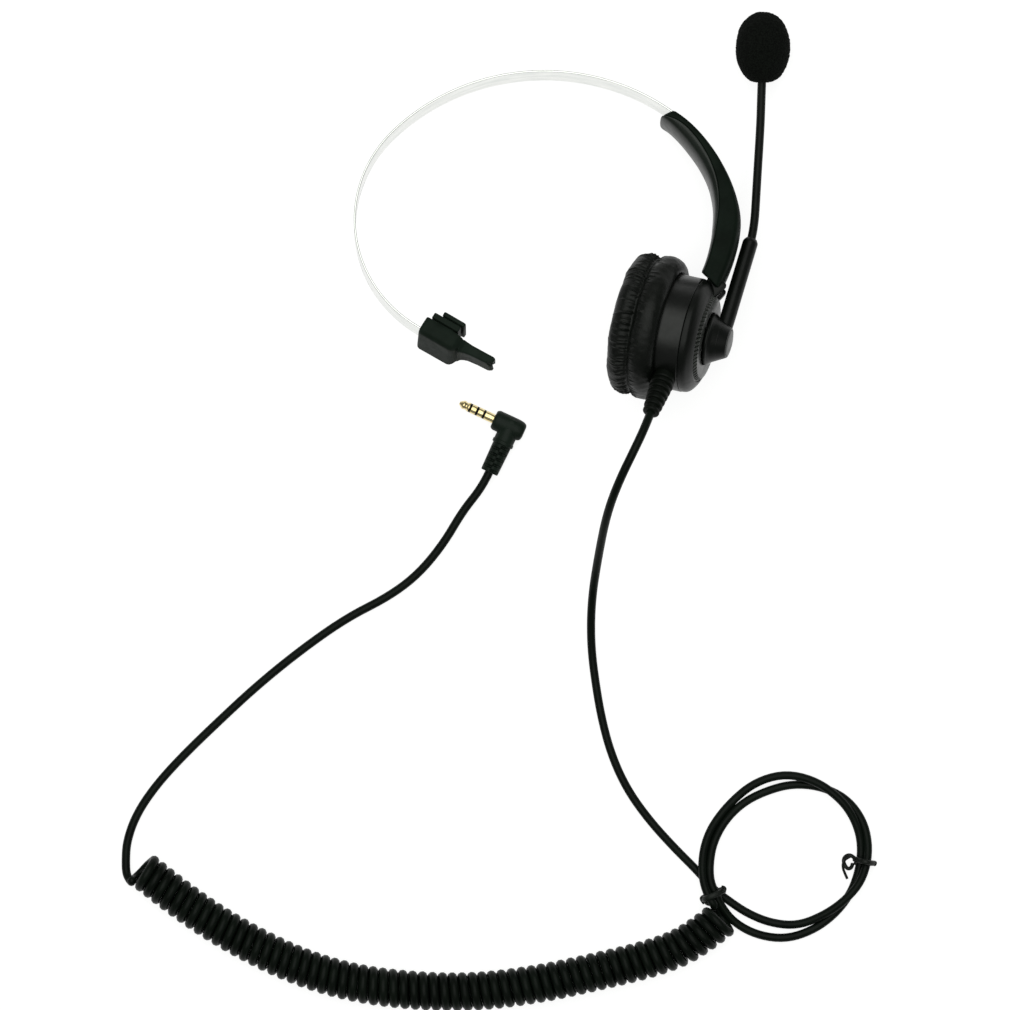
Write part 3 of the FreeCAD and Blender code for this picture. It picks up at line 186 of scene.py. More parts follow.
def add(tree, kind, inputs=None, **settings):
    """Add a node with its settings; each input is a value or the socket that it is linked to."""
    node = tree.nodes.new(kind)
    for name, value in settings.items():
        setattr(node, name, value)
    for name, value in (inputs or {}).items():
        if isinstance(value, bpy.types.NodeSocket):
            tree.links.new(value, node.inputs[name])
        else:
            node.inputs[name].default_value = value
    return node


def per_metre(size):
    """The texture scale that gives features of a size in millimetres."""
    return 1000.0 / size


def started(name, colour, roughness, **constants):
    """A material with its shader and object coordinates, its constants set on the shader itself."""
    material = bpy.data.materials.new(name)
    material.use_nodes = True
    tree = material.node_tree
    shader = tree.nodes["Principled BSDF"]
    shader.inputs["Base Color"].default_value = linear(colour)
    shader.inputs["Roughness"].default_value = roughness
    for label, value in constants.items():
        shader.inputs[label.replace("_", " ")].default_value = value
    where = add(tree, "ShaderNodeTexCoord").outputs["Object"]
    return material, tree, shader, where


def tint(tree, shader, pattern, dark, light, low=0.3, high=0.7):
    """Colour the shader between two hex colours where a pattern runs from low to high."""
    ramp = add(tree, "ShaderNodeValToRGB", {"Fac": pattern})
    ramp.color_ramp.elements[0].position = low
    ramp.color_ramp.elements[0].color = linear(dark)
    ramp.color_ramp.elements[1].position = high
    ramp.color_ramp.elements[1].color = linear(light)
    tree.links.new(ramp.outputs["Color"], shader.inputs["Base Color"])


def dull(tree, shader, pattern, smooth, rough):
    """Spread the shader's roughness between two values by a pattern."""
    spread = add(tree, "ShaderNodeMapRange", {"Value": pattern, "From Min": 0.3, "From Max": 0.7,
                                              "To Min": smooth, "To Max": rough})
    tree.links.new(spread.outputs["Result"], shader.inputs["Roughness"])


def relief(tree, shader, height, depth, under=None):
    """Bump of a depth in millimetres, laid over another bump if there is one."""
    inputs = {"Height": height, "Distance": depth * MM, "Strength": 1.0}
    if under is not None:
        inputs["Normal"] = under
    normal = add(tree, "ShaderNodeBump", inputs).outputs["Normal"]
    tree.links.new(normal, shader.inputs["Normal"])
    return normal


def moulded(name, dark, light, smooth, rough, grain, depth, shine=0.1):
    """Moulded plastic or rubber: faint colour drift, uneven gloss, and the tool's grain as bump."""
    material, tree, shader, where = started(name, dark, rough, Specular_IOR_Level=shine)
    drift = add(tree, "ShaderNodeTexNoise", {"Vector": where, "Scale": per_metre(9.0), "Detail": 3.0})
    tint(tree, shader, drift.outputs["Fac"], dark, light)
    wipe = add(tree, "ShaderNodeTexNoise", {"Vector": where, "Scale": per_metre(2.5), "Detail": 4.0})
    dull(tree, shader, wipe.outputs["Fac"], smooth, rough)
    texture = add(tree, "ShaderNodeTexNoise", {"Vector": where, "Scale": per_metre(grain), "Detail": 2.0})
    relief(tree, shader, texture.outputs["Fac"], depth)
    return material


def gloss_abs():
    """Polished black ABS: a mirror tool gives a deep shine with faint waves and wiping marks."""
    return moulded("polished_black_abs", "#080b08", "#0c0f0c", 0.28, 0.38, 3.0, 0.006, 0.36)


def satin_abs():
    """Satin black ABS: a lightly blasted tool spreads the highlight."""
    return moulded("satin_black_abs", "#090c09", "#0e120f", 0.28, 0.40, 0.35, 0.010, 0.19)


def ring_abs():
    """Ratchet ring's ABS: a lighter black than the shells all over, with more shine."""
    return moulded("ratchet_black_abs", "#1c201c", "#2b302a", 0.30, 0.42, 0.30, 0.010, 0.6)


def matte_abs():
    """Spark-eroded black ABS on the arm: pits of 0.3 mm, drawn at 0.45 mm so that they show."""
    return moulded("eroded_black_abs", "#0c140e", "#131d16", 0.42, 0.56, 0.45, 0.035, 0.06)


def inner_abs():
    """Semi-gloss black ABS on the arm's inner cover, smoother than the outer one."""
    return moulded("semi_gloss_black_abs", "#101711", "#18201a", 0.28, 0.38, 0.8, 0.008, 0.36)


def plate_abs():
    """Plain black ABS behind the ear cushion."""
    return moulded("plate_black_abs", "#0c0d0c", "#121312", 0.45, 0.6, 0.4, 0.02)


def boot_rubber():
    """Black PVC boot: soft, low shine."""
    return moulded("boot_black_pvc", "#0c0f0c", "#141914", 0.36, 0.52, 0.5, 0.02)


def block_rubber():
    """Temple block's soft-touch black rubber: a broad dull sheen."""
    return moulded("soft_touch_rubber", "#171f19", "#212b24", 0.40, 0.52, 0.4, 0.015, 0.05)


def plug_moulding():
    """Over-moulded black PVC of the plug, finely blasted."""
    return moulded("plug_black_pvc", "#141c16", "#1f2922", 0.34, 0.46, 0.35, 0.018)


def cord_jacket():
    """Extruded black PVC jacket: satin, with faint ripples from the die every millimetre."""
    return moulded("cord_black_pvc", "#0a0f0b", "#111812", 0.30, 0.42, 1.0, 0.012, 0.09)


def tie_plastic():
    """Black plastic skin of the twist ties."""
    return moulded("tie_black_pvc", "#131713", "#1e231e", 0.34, 0.5, 0.6, 0.02, 0.22)


def insulator_plastic():
    """Black nylon rings between the plug's contacts."""
    return moulded("insulator_nylon", "#0b0a08", "#11100d", 0.28, 0.4, 0.3, 0.005)


def slider_acetal():
    """White acetal shoe that slides in the arm."""
    return moulded("slider_white_acetal", "#d9d8d0", "#e6e5de", 0.3, 0.42, 0.5, 0.01)


def diaphragm_film():
    """Clear polyester film of the speaker, seen as smoky grey."""
    return moulded("speaker_film", "#5c5f60", "#74787a", 0.18, 0.3, 1.2, 0.01)


def magnet_ferrite():
    """Sintered ferrite: charcoal grey with a fine ground surface."""
    return moulded("ground_ferrite", "#2b2c2e", "#38393b", 0.5, 0.66, 0.3, 0.02)


def board_epoxy():
    """Glass epoxy board under a green solder resist, with the weave just showing."""
    return moulded("solder_resist_board", "#12381f", "#1c5330", 0.3, 0.42, 0.6, 0.02)


def leatherette():
    """Polyurethane leather on knit: pebbled grain, 0.5 mm real cells drawn at 0.8 mm, soft shine."""
    material, tree, shader, where = started("black_leatherette", "#0e110e", 0.42, Specular_IOR_Level=0.2)
    cells = add(tree, "ShaderNodeTexVoronoi", {"Vector": where, "Scale": per_metre(0.8)},
                feature="DISTANCE_TO_EDGE")
    # Painted shade and light: the cells' edges, the grain's valleys, are coloured darker and the pebble tops
    # lighter.
    tint(tree, shader, cells.outputs["Distance"], "#080b08", "#101510", 0.02, 0.35)
    wear = add(tree, "ShaderNodeTexNoise", {"Vector": where, "Scale": per_metre(5.0), "Detail": 4.0})
    dull(tree, shader, wear.outputs["Fac"], 0.34, 0.50)
    folds = add(tree, "ShaderNodeTexNoise", {"Vector": where, "Scale": per_metre(2.2), "Detail": 3.0})
    soft = relief(tree, shader, folds.outputs["Fac"], 0.12)
    relief(tree, shader, cells.outputs["Distance"], 0.05, soft)
    return material


def foam():
    """Open-cell polyurethane foam: no shine, 0.35 mm pores drawn at 0.6 mm."""
    material, tree, shader, where = started("open_cell_foam", "#0d0f0d", 0.95, Specular_IOR_Level=0.1)
    pores = add(tree, "ShaderNodeTexVoronoi", {"Vector": where, "Scale": per_metre(0.6)})
    # Painted shade: the colour is darker where the bump below makes hollows, and lighter on the high points.
    tint(tree, shader, pores.outputs["Distance"], "#171b17", "#0a0c0a", 0.1, 0.7)
    relief(tree, shader, pores.outputs["Distance"], -0.18)
    return material


def neck_rubber():
    """Black PVC tube over the boom's wire coil, whose turns show through every 1.1 mm."""
    material, tree, shader, where = started("neck_black_pvc", "#0f120f", 0.40, Specular_IOR_Level=0.14)
    flat = add(tree, "ShaderNodeTexCoord").outputs["UV"]
    coil = add(tree, "ShaderNodeTexWave", {"Vector": flat, "Scale": per_metre(1.1) / 20, "Distortion": 0.0},
               wave_type="BANDS", bands_direction="Y")
    drift = add(tree, "ShaderNodeTexNoise", {"Vector": where, "Scale": per_metre(4.0), "Detail": 3.0})
    tint(tree, shader, drift.outputs["Fac"], "#0e110e", "#151915")
    dull(tree, shader, drift.outputs["Fac"], 0.34, 0.46)
    relief(tree, shader, coil.outputs["Fac"], 0.03)
    return material


def spring_steel():
    """Rolled and polished spring steel: bright, with hairlines along its length every 0.3 mm."""
    material, tree, shader, _ = started("polished_spring_steel", "#f2f3f0", 0.16, Metallic=1.0)
    flat = add(tree, "ShaderNodeTexCoord").outputs["UV"]
    drawn = add(tree, "ShaderNodeMapping", {"Vector": flat, "Scale": (70.0, per_metre(14.0), 1.0)})
    lines = add(tree, "ShaderNodeTexNoise",
                {"Vector": drawn.outputs["Vector"], "Scale": 1.0, "Detail": 4.0})
    tint(tree, shader, lines.outputs["Fac"], "#e4e7e4", "#fbfbf8")
    dull(tree, shader, lines.outputs["Fac"], 0.10, 0.24)
    relief(tree, shader, lines.outputs["Fac"], 0.002)
    return material


def plain_metal(name, dark, light, smooth, rough):
    """Machined or pressed metal: bright, with uneven polish and fine tool marks."""
    material, tree, shader, where = started(name, light, rough, Metallic=1.0)
    marks = add(tree, "ShaderNodeTexNoise", {"Vector": where, "Scale": per_metre(0.7), "Detail": 3.0})
    tint(tree, shader, marks.outputs["Fac"], dark, light)
    dull(tree, shader, marks.outputs["Fac"], smooth, rough)
    relief(tree, shader, marks.outputs["Fac"], 0.003)
    return material


def gold_plate():
    """Bright gold flash over brass on the plug's contacts."""
    return plain_metal("gold_flash", "#e8cf8a", "#fbeec2", 0.08, 0.16)


def screw_steel():
    """Zinc-plated steel of screws and pins."""
    return plain_metal("zinc_plated_steel", "#8f9294", "#b9bcbe", 0.26, 0.4)


def frame_steel():
    """Pressed steel of the speaker's frame, dull zinc."""
    return plain_metal("pressed_zinc_steel", "#85888a", "#a3a6a8", 0.35, 0.5)


def capsule_alloy():
    """Drawn aluminium can of the microphone capsule."""
    return plain_metal("drawn_aluminium", "#a9acae", "#cfd2d4", 0.3, 0.42)


FINISHES = {
    "leatherette": leatherette(), "plate_abs": plate_abs(), "screw_steel": screw_steel(),
    "gloss_abs": gloss_abs(), "satin_abs": satin_abs(), "ring_abs": ring_abs(),
    "frame_steel": frame_steel(), "diaphragm_film": diaphragm_film(),
    "magnet_ferrite": magnet_ferrite(), "board_epoxy": board_epoxy(), "boot_rubber": boot_rubber(),
    "matte_abs": matte_abs(), "neck_rubber": neck_rubber(), "capsule_alloy": capsule_alloy(),
    "foam": foam(), "spring_steel": spring_steel(), "slider_acetal": slider_acetal(),
    "block_rubber": block_rubber(), "cord_jacket": cord_jacket(), "tie_plastic": tie_plastic(),
    "insulator_plastic": insulator_plastic(), "gold_plate": gold_plate(),
    "plug_moulding": plug_moulding(),
}
ARM_INNER_FINISH = inner_abs()


# ---------------------------------------------------------------- lines, outlines and grids
def smooth_line(points, steps=12):
    """Points along the NURBS spline that has these control points, in metres."""
    curve = bpy.data.curves.new("route", "CURVE")
    curve.dimensions = "3D"
    curve.resolution_u = steps
    thread(curve, points)
    holder = bpy.data.objects.new("route", curve)
    mesh = bpy.data.meshes.new_from_object(holder)
    line = np.empty(len(mesh.vertices) * 3)
    mesh.vertices.foreach_get("co", line)
    bpy.data.objects.remove(holder)
    bpy.data.curves.remove(curve)
    bpy.data.meshes.remove(mesh)
    return line.reshape(-1, 3)


def thread(curve, points):
    """One open NURBS spline of order 3 that reaches its first and last point."""
    spline = curve.splines.new("NURBS")
    spline.points.add(len(points) - 1)
    spline.points.foreach_set("co", np.c_[points, np.ones(len(points))].ravel())
    spline.order_u = 3
    spline.use_endpoint_u = True


def spaced(line, count):
    """Points at equal distances along a line, read off its running length."""
    steps = np.linalg.norm(np.diff(line, axis=0), axis=1)
    run = np.concatenate([[0], np.cumsum(steps)])
    wanted = np.linspace(0, run[-1], count)
    return np.stack([np.interp(wanted, run, line[:, axis]) for axis in range(line.shape[1])], -1)


def rounded(outline, looped=False, steps=5):
    """An outline with soft corners.

    Each point is (x, y) or (x, y, reach).  A corner with a reach becomes the quadratic curve that
    leaves the side that far before the corner and joins the next side that far after it.
    """
    count = len(outline)
    done = []
    for number, corner in enumerate(outline):
        here = np.array(corner[:2], float)
        ends = not looped and number in (0, count - 1)
        if ends or len(corner) == 2:
            done.append(here[None])
            continue
        before = np.array(outline[number - 1][:2]) - here
        after = np.array(outline[(number + 1) % count][:2]) - here
        reach_in = min(corner[2], 0.48 * np.linalg.norm(before))
        reach_out = min(corner[2], 0.48 * np.linalg.norm(after))
        t = np.linspace(0, 1, steps + 1)[:, None]
        start = here + unit(before) * reach_in
        finish = here + unit(after) * reach_out
        done.append((1 - t) ** 2 * start + 2 * t * (1 - t) * here + t ** 2 * finish)
    return np.concatenate(done)


def lathe(outline, columns=128, looped=False, steps=5):
    """An outline of radius and height turned about z: x = r cos t, y = r sin t, z = height."""
    profile = rounded(outline, looped, steps)
    turn = np.linspace(0, 2 * math.pi, columns, endpoint=False)
    radius, height = profile[:, :1], profile[:, 1:]
    return np.stack([radius * np.cos(turn), radius * np.sin(turn), height + 0 * turn], -1)


def sweep(line, section, up):
    """A section carried along a line: its first number runs to the side, its second one over.

    Side is the line's direction crossed with up, and over is side crossed with the direction.
    """
    ahead = unit(np.gradient(line, axis=0))
    side = unit(np.cross(ahead, up))
    over = np.cross(side, ahead)
    section = np.broadcast_to(section, (len(line), *np.shape(section)[-2:]))
    return line[:, None] + section[..., :1] * side[:, None] + section[..., 1:] * over[:, None]


def round_section(radius, columns=24):
    """A circle of points: radius times the cosine and sine of each angle."""
    turn = np.linspace(0, 2 * math.pi, columns, endpoint=False)
    return np.stack([np.cos(turn), np.sin(turn)], -1) * radius


def box_section(width, height, reach, steps=4):
    """A rectangle about its middle with soft corners."""
    x, y = width / 2, height / 2
    return rounded([(x, -y, reach), (x, y, reach), (-x, y, reach), (-x, -y, reach)], True, steps)


def tube(line, radius, columns=20):
    """A round tube along a line in metres, its radius in millimetres, with one value or one a point."""
    radius = np.broadcast_to(np.asarray(radius, float), len(line))[:, None, None]
    return sweep(line, round_section(MM, columns) * radius, UP)


def ripple(points, size, seed, waves=24):
    """Smooth noise from -1 to 1: a mean of sine waves of one length, in directions that a seed picks."""
    chance = np.random.default_rng(seed)
    ways = unit(chance.normal(size=(waves, 3))) * (2 * math.pi / size)
    shifts = chance.uniform(0, 2 * math.pi, waves)
    return np.sin(points @ ways.T + shifts).sum(-1) / math.sqrt(waves / 2) / 2


def refined(grid):
    """A grid that joins up both ways with twice the points: each old point is six parts itself and
    one part each neighbour, and each new one is halfway between two."""
    for axis in (0, 1):
        ahead, behind = np.roll(grid, -1, axis), np.roll(grid, 1, axis)
        both = np.stack([(behind + 6 * grid + ahead) / 8, (grid + ahead) / 2], axis + 1)
        shape = list(grid.shape)
        shape[axis] *= 2
        grid = both.reshape(shape)
    return grid


def outward(grid):
    """Unit normals of a grid that joins up both ways: the cross of its two slopes."""
    along = np.roll(grid, -1, 0) - np.roll(grid, 1, 0)
    across = np.roll(grid, -1, 1) - np.roll(grid, 1, 1)
    return unit(np.cross(across, along) + 1e-15)


# ---------------------------------------------------------------- meshes
def shell(grid, looped=False):
    """Points, faces and UVs of a closed surface over a grid.

    Columns run round it.  Rows join up too where looped, and otherwise end in a fan at their mean.
    The UV map holds the share of a turn and the distance along the rows in metres.
    """
    rows, columns = grid.shape[:2]
    index = np.arange(rows * columns).reshape(rows, columns)
    span = np.linalg.norm(np.diff(grid, axis=0), axis=2).mean(1)
    run = np.concatenate([[0], np.cumsum(span)])
    if looped:
        index = np.vstack([index, index[:1]])
        run = np.append(run, run[-1] + span.mean())
    a, b = index[:-1], index[1:]
    quads = np.stack([a, np.roll(a, -1, 1), np.roll(b, -1, 1), b], -1).reshape(-1, 4)
    share = np.arange(columns) / columns
    left = np.tile(share, len(a))
    low = np.repeat(run[:len(a)], columns)
    high = np.repeat(run[1:len(a) + 1], columns)
    right = left + 1 / columns
    map_of = np.stack([left, low, right, low, right, high, left, high], -1).reshape(-1, 2)
    points = grid.reshape(-1, 3)
    faces = quads.tolist()
    if not looped:
        last = len(points)
        points = np.vstack([points, grid[0].mean(0), grid[-1].mean(0)])
        first_fan = np.stack([np.roll(index[0], -1), index[0], np.full(columns, last)], -1)
        last_fan = np.stack([index[-1], np.roll(index[-1], -1), np.full(columns, last + 1)], -1)
        faces += first_fan.tolist() + last_fan.tolist()
        map_of = np.vstack([map_of, np.repeat([[0.5, run[0]]], 3 * columns, 0),
                            np.repeat([[0.5, run[-1]]], 3 * columns, 0)])
    corner = points[quads]
    volume = np.einsum("ij,ij->", corner[:, 0], np.cross(corner[:, 1], corner[:, 2]))
    volume += np.einsum("ij,ij->", corner[:, 0], np.cross(corner[:, 2], corner[:, 3]))
    return points, faces, map_of, volume


def mesh_of(name, shells):
    """One mesh out of closed shells, all facing outwards, with coinciding points merged."""
    mesh = bpy.data.meshes.new(name)
    points, faces, maps, count = [], [], [], 0
    for part, part_faces, part_map, _ in shells:
        points.append(part)
        faces += [[number + count for number in face] for face in part_faces]
        maps.append(part_map)
        count += len(part)
    mesh.from_pydata(np.concatenate(points).tolist(), [], faces)
    mesh.uv_layers.new(name="UVMap").uv.foreach_set("vector", np.concatenate(maps).ravel())
    work = bmesh.new()
    work.from_mesh(mesh)
    bmesh.ops.remove_doubles(work, verts=work.verts, dist=2e-7)
    bmesh.ops.recalc_face_normals(work, faces=work.faces)
    work.to_mesh(mesh)
    work.free()
    return mesh


def piece(name, shells, body, slot, nodes=(), crease=38, finish=None):
    """A finished object: it rides on a body, has its slot's finish and stands for CAD nodes."""
    mesh = mesh_of(name, shells)
    mesh.shade_smooth()
    mesh.set_sharp_from_angle(angle=math.radians(crease))
    return dressed(bpy.data.objects.new(name, mesh), body, slot, nodes, finish)


def dressed(thing, body, slot, nodes=(), finish=None):
    """Give an object its slot's finish and its body, and hide the CAD nodes that it stands for."""
    bpy.context.scene.collection.objects.link(thing)
    thing.data.materials.append(finish or FINISHES[slot])
    if body:
        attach(thing, body)
    if nodes:
        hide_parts(*nodes)
    return thing


# ---------------------------------------------------------------- ear cup
CUSHION_ROWS = 48
CUSHION_COLUMNS = 208
SEAM_REACH = 0.7
LIP_INNER = 23.75


def cushion_grid():
    """The cushion's skin: an outline with a front bulge, a groove at the seam, a rear bulge and the
    channel for the shell's flange, turned about the cup's axis."""
    soft = 9.0
    outline = [
        (21.6, 10.2, 0.8), (23.6, 9.9, soft), (25.9, 7.6, soft), (26.8, 4.0, soft), (26.3, 2.0, 0.8),
        (24.2, 0.1, 0.7), (26.0, -1.9, 0.8), (26.8, -3.4, soft), (26.2, -5.6, soft), (23.8, -7.5, soft),
        (19.4, -8.1, soft), (15.4, -7.6, soft), (12.8, -5.6, soft), (12.2, -2.6, soft), (12.4, 0.4, 0.6),
        (18.0, 0.5, soft), (LIP_INNER, 0.5, 0.3), (LIP_INNER, 5.1, 0.3), (21.6, 5.2, 0.3),
    ]
    profile = rounded(outline, True, 6)
    profile = spaced(np.vstack([profile, profile[:1]]), CUSHION_ROWS + 1)[:-1]
    turn = np.linspace(0, 2 * math.pi, CUSHION_COLUMNS, endpoint=False)
    radius, height = profile[:, :1], profile[:, 1:]
    return np.stack([radius * np.cos(turn), radius * np.sin(turn), height + 0 * turn], -1)


def swollen(grid, held, pressure, most, frames=20):
    """Let a closed cloth grid swell against the points that are held, as air does in a cover.

    The cloth is simulated forty times as large, where the solver is steady, and no point moves more
    than a set distance.
    """
    grown = 0.04
    points, faces, _, volume = shell(grid * grown, looped=True)
    mesh = bpy.data.meshes.new("cover")
    mesh.from_pydata(points.tolist(), [], faces if volume > 0 else [face[::-1] for face in faces])
    cover = bpy.data.objects.new("cover", mesh)
    bpy.context.scene.collection.objects.link(cover)
    pins = cover.vertex_groups.new(name="held")
    pins.add(np.flatnonzero(held.ravel()).tolist(), 1.0, "REPLACE")
    cloth = cover.modifiers.new("cloth", "CLOTH")
    cloth.settings.vertex_group_mass = "held"
    cloth.settings.use_pressure = True
    cloth.settings.uniform_pressure_force = pressure
    cloth.settings.mass = 0.2
    cloth.settings.tension_stiffness = 12
    cloth.settings.compression_stiffness = 8
    cloth.settings.bending_stiffness = 0.4
    cloth.settings.effector_weights.gravity = 0
    cloth.collision_settings.use_collision = False
    scene = bpy.context.scene
    for number in range(1, frames + 1):
        scene.frame_set(number)
    result = cover.evaluated_get(bpy.context.evaluated_depsgraph_get()).to_mesh()
    after = np.empty(len(result.vertices) * 3)
    result.vertices.foreach_get("co", after)
    scene.frame_set(1)
    bpy.data.objects.remove(cover)
    bpy.data.meshes.remove(mesh)
    shift = after.reshape(grid.shape) / grown - grid
    far = np.linalg.norm(shift, axis=-1, keepdims=True)
    return grid + shift * np.minimum(1, most / np.maximum(far, 1e-9))


def creases(angle, height, count, start, way, longest, deepest, seed):
    """Depth of short folds that start at the seam: each falls off as e to the minus distance over
    width, fades along its length, and leans a little; a seed picks place, width, length and depth."""
    chance = np.random.default_rng(seed)
    where = (np.arange(count) + chance.uniform(-0.4, 0.4, count)) * 2 * math.pi / count
    lean = chance.normal(0.002, 0.0035, count)
    wide = chance.uniform(0.006, 0.012, count)
    long = chance.uniform(0.35, 1.0, count) ** 1.3 * longest
    deep = chance.uniform(0.3, 1.0, count) * deepest
    along = (way * (height - start))[..., None]
    away = angle[..., None] - where - lean * along
    away = (away + math.pi) % (2 * math.pi) - math.pi
    fade = np.clip(along / 0.6 + 0.3, 0, 1) * np.clip(1 - along / long, 0, 1) ** 0.6
    return (deep * fade * np.exp(-np.abs(away) / wide)).sum(-1)


def make_ear_cushion():
    """Simulated cover, made finer, with pleats gathered at the seam pressed into it."""
    grid = cushion_grid()
    radius = np.hypot(grid[..., 0], grid[..., 1])
    height = grid[..., 2]
    seam = (np.abs(height) < SEAM_REACH) & (radius > LIP_INNER + 0.5)
    channel = (height > 0.3) & (radius <= LIP_INNER + 0.1) & (height < 6.0)
    grid = swollen(grid, seam | channel, 4.0, 0.6)
    grid = refined(grid)
    grid = refined(grid)[::2]
    radius = np.hypot(grid[..., 0], grid[..., 1])
    angle = np.arctan2(grid[..., 1], grid[..., 0])
    height = grid[..., 2]
    outside = np.clip((radius - 17.0) / 5.0, 0, 1)
    depth = creases(angle, height, 118, -0.6, -1, 8.5, 1.15, 3) * outside
    depth += creases(angle, height, 100, 0.8, 1, 3.8, 0.95, 5) * outside
    inside = np.clip((16.0 - radius) / 3.0, 0, 1)
    depth += creases(angle, height, 44, -1.5, -1, 7.0, 0.5, 8) * inside
    visible = ((radius > LIP_INNER + 0.3) | (height < 0.2)).astype(float)
    swell = ripple(grid, 8.0, 21) * 0.14 + ripple(grid, 2.6, 22) * 0.05
    grid = grid + outward(grid) * ((swell - np.minimum(depth, 0.95)) * visible)[..., None]
    reach = np.hypot(grid[..., 0], grid[..., 1])
    grid[..., :2] *= np.minimum(1, 26.85 / reach)[..., None]
    cushion = piece("ear_cushion_cover", [shell(laid(grid, CUP), True)], "ear_cup", "leatherette",
                    ["ear_cushion"], crease=80)


def make_front_shell():
    """Glossy drum: its wall and flange are one closed outline turned about the cup's axis."""
    outline = [
        (19.6, 3.2), (23.3, 3.2, 0.2), (23.3, 4.8, 0.2), (21.2, 4.8, 0.3), (21.2, 17.95, 0.35),
        (20.6, 18.1, 0.1), (19.6, 18.1),
    ]
    piece("drum_front", [shell(laid(lathe(outline, 192, True), CUP), True)], "ear_cup", "gloss_abs",
          ["front_shell"])


def make_rear_shell():
    """Drum's back: one closed outline with a round shoulder turned about the cup's axis, and two
    cheeks that hold the hinge pin, each a tapered outline with a soft rim."""
    outline = [
        (3.8, 21.0), (3.8, 19.0), (15.5, 19.0), (19.5, 19.0), (19.5, 18.2), (21.05, 18.2, 0.15),
        (20.8, 20.4, 2.4), (18.7, 22.1, 2.2), (16.9, 22.95, 0.5), (16.45, 22.9, 0.15),
        (16.4, 22.4, 0.1), (16.4, 21.0),
    ]
    shells = [shell(laid(lathe(outline, 192, True), CUP), True)]
    cheek = evened(rounded([(-4.6, 1.3, 1.2), (0.0, 2.9, 2.5), (3.0, 2.5, 1.4), (3.2, -1.0, 2.0),
                            (1.6, -6.5, 1.4), (-0.6, -6.0, 1.2), (-3.3, -2.2, 2.0)], True), 64)
    for way in (1, -1):
        levels = [(3.0, 0.92), (3.2, 1.0), (4.9, 1.0), (5.4, 0.93), (5.6, 0.80)]
        rows = np.array([np.c_[np.full(len(cheek), way * out), -cheek[:, 0] * grow, cheek[:, 1] * grow]
                         for out, grow in levels])
        shells.append(shell(laid(rows, HINGE)))
    piece("drum_back", shells, "ear_cup", "satin_abs", ["rear_shell"])


def make_knurled_ring():
    """Ratchet ring: a flat ring and a steep rim, whose radius drops in slanted gaps; a gap's angle
    shifts with the height, and its depth is a narrow bell across."""
    teeth, lean = 60, 0.05
    turn = np.linspace(0, 2 * math.pi, teeth * 14, endpoint=False)
    reach, level = np.array([
        (9.9, 22.2), (9.9, 23.85), (10.1, 24.0), (12.0, 24.02), (14.6, 24.02), (14.85, 23.98),
        (14.95, 23.9), (15.1, 23.75), (15.25, 23.55), (15.4, 23.35), (15.55, 23.15), (15.7, 22.95),
        (15.8, 22.8), (15.95, 22.7), (16.2, 22.7), (16.3, 22.6), (16.3, 22.0)]).T[..., None]
    rim = np.clip((level - 22.72) / 0.12, 0, 1) * np.clip((24.0 - level) / 0.08, 0, 1) * (reach > 14.0)
    tooth = ((turn + lean * (level - 23.3)) * teeth / (2 * math.pi)) % 1.0
    gap = np.exp(-((tooth - 0.5) / 0.17) ** 2)
    reach = reach + rim * (0.18 - 0.85 * gap)
    grid = np.stack([reach * np.cos(turn), reach * np.sin(turn), level + 0 * turn], -1)
    piece("ratchet_ring", [shell(laid(grid, CUP), True)], "ear_cup", "ring_abs", ["knurled_ring"], 50)


def make_strain_relief():
    """Ribbed boot: a wide collar at the shell, five ribs that taper, and a bead round the cord."""
    start, ribs, step = 20.6, 5, 2.55
    outline = [(0.0, start), (4.2, start), (4.35, start + 2.6, 0.5), (3.5, start + 3.0, 0.3)]
    for number in range(ribs):
        low = start + 3.3 + number * step
        wide = 4.45 - 0.24 * number
        outline += [(wide - 1.0, low, 0.15), (wide, low + 0.05, 0.4), (wide - 0.05, low + 1.5, 0.4),
                    (wide - 1.05, low + 1.6, 0.15)]
    end = start + 3.3 + ribs * step
    outline += [(2.5, end + 0.1, 0.2), (3.15, end + 0.3, 0.5), (3.1, end + 1.5, 0.6),
                (2.0, end + 1.65, 0.2), (0.0, end + 1.6)]
    grid = lathe(outline, 64, False, 4)
    turn = np.arctan2(grid[..., 1], grid[..., 0])
    along = grid[..., 2]
    ribbed = (along > start + 3.2) & (along < end)
    web = np.clip((np.abs(np.sin(turn)) - 0.86) / 0.06, 0, 1) * ribbed
    core = 3.65 - 0.08 * (along - start - 3.3)
    reach = np.maximum(np.hypot(grid[..., 0], grid[..., 1]), 1e-9)
    target = reach + (np.maximum(core, reach) - reach) * web
    grid[..., :2] *= (target / reach)[..., None]
    piece("cord_boot", [shell(laid(grid, RELIEF))], "ear_cup", "boot_rubber", ["strain_relief"], 45)


# ---------------------------------------------------------------- boom
HUB_BASE = 24.25
HUB_END = 31.8
SLEEVE_HEIGHT = 28.5
SLEEVE_END = 41.8


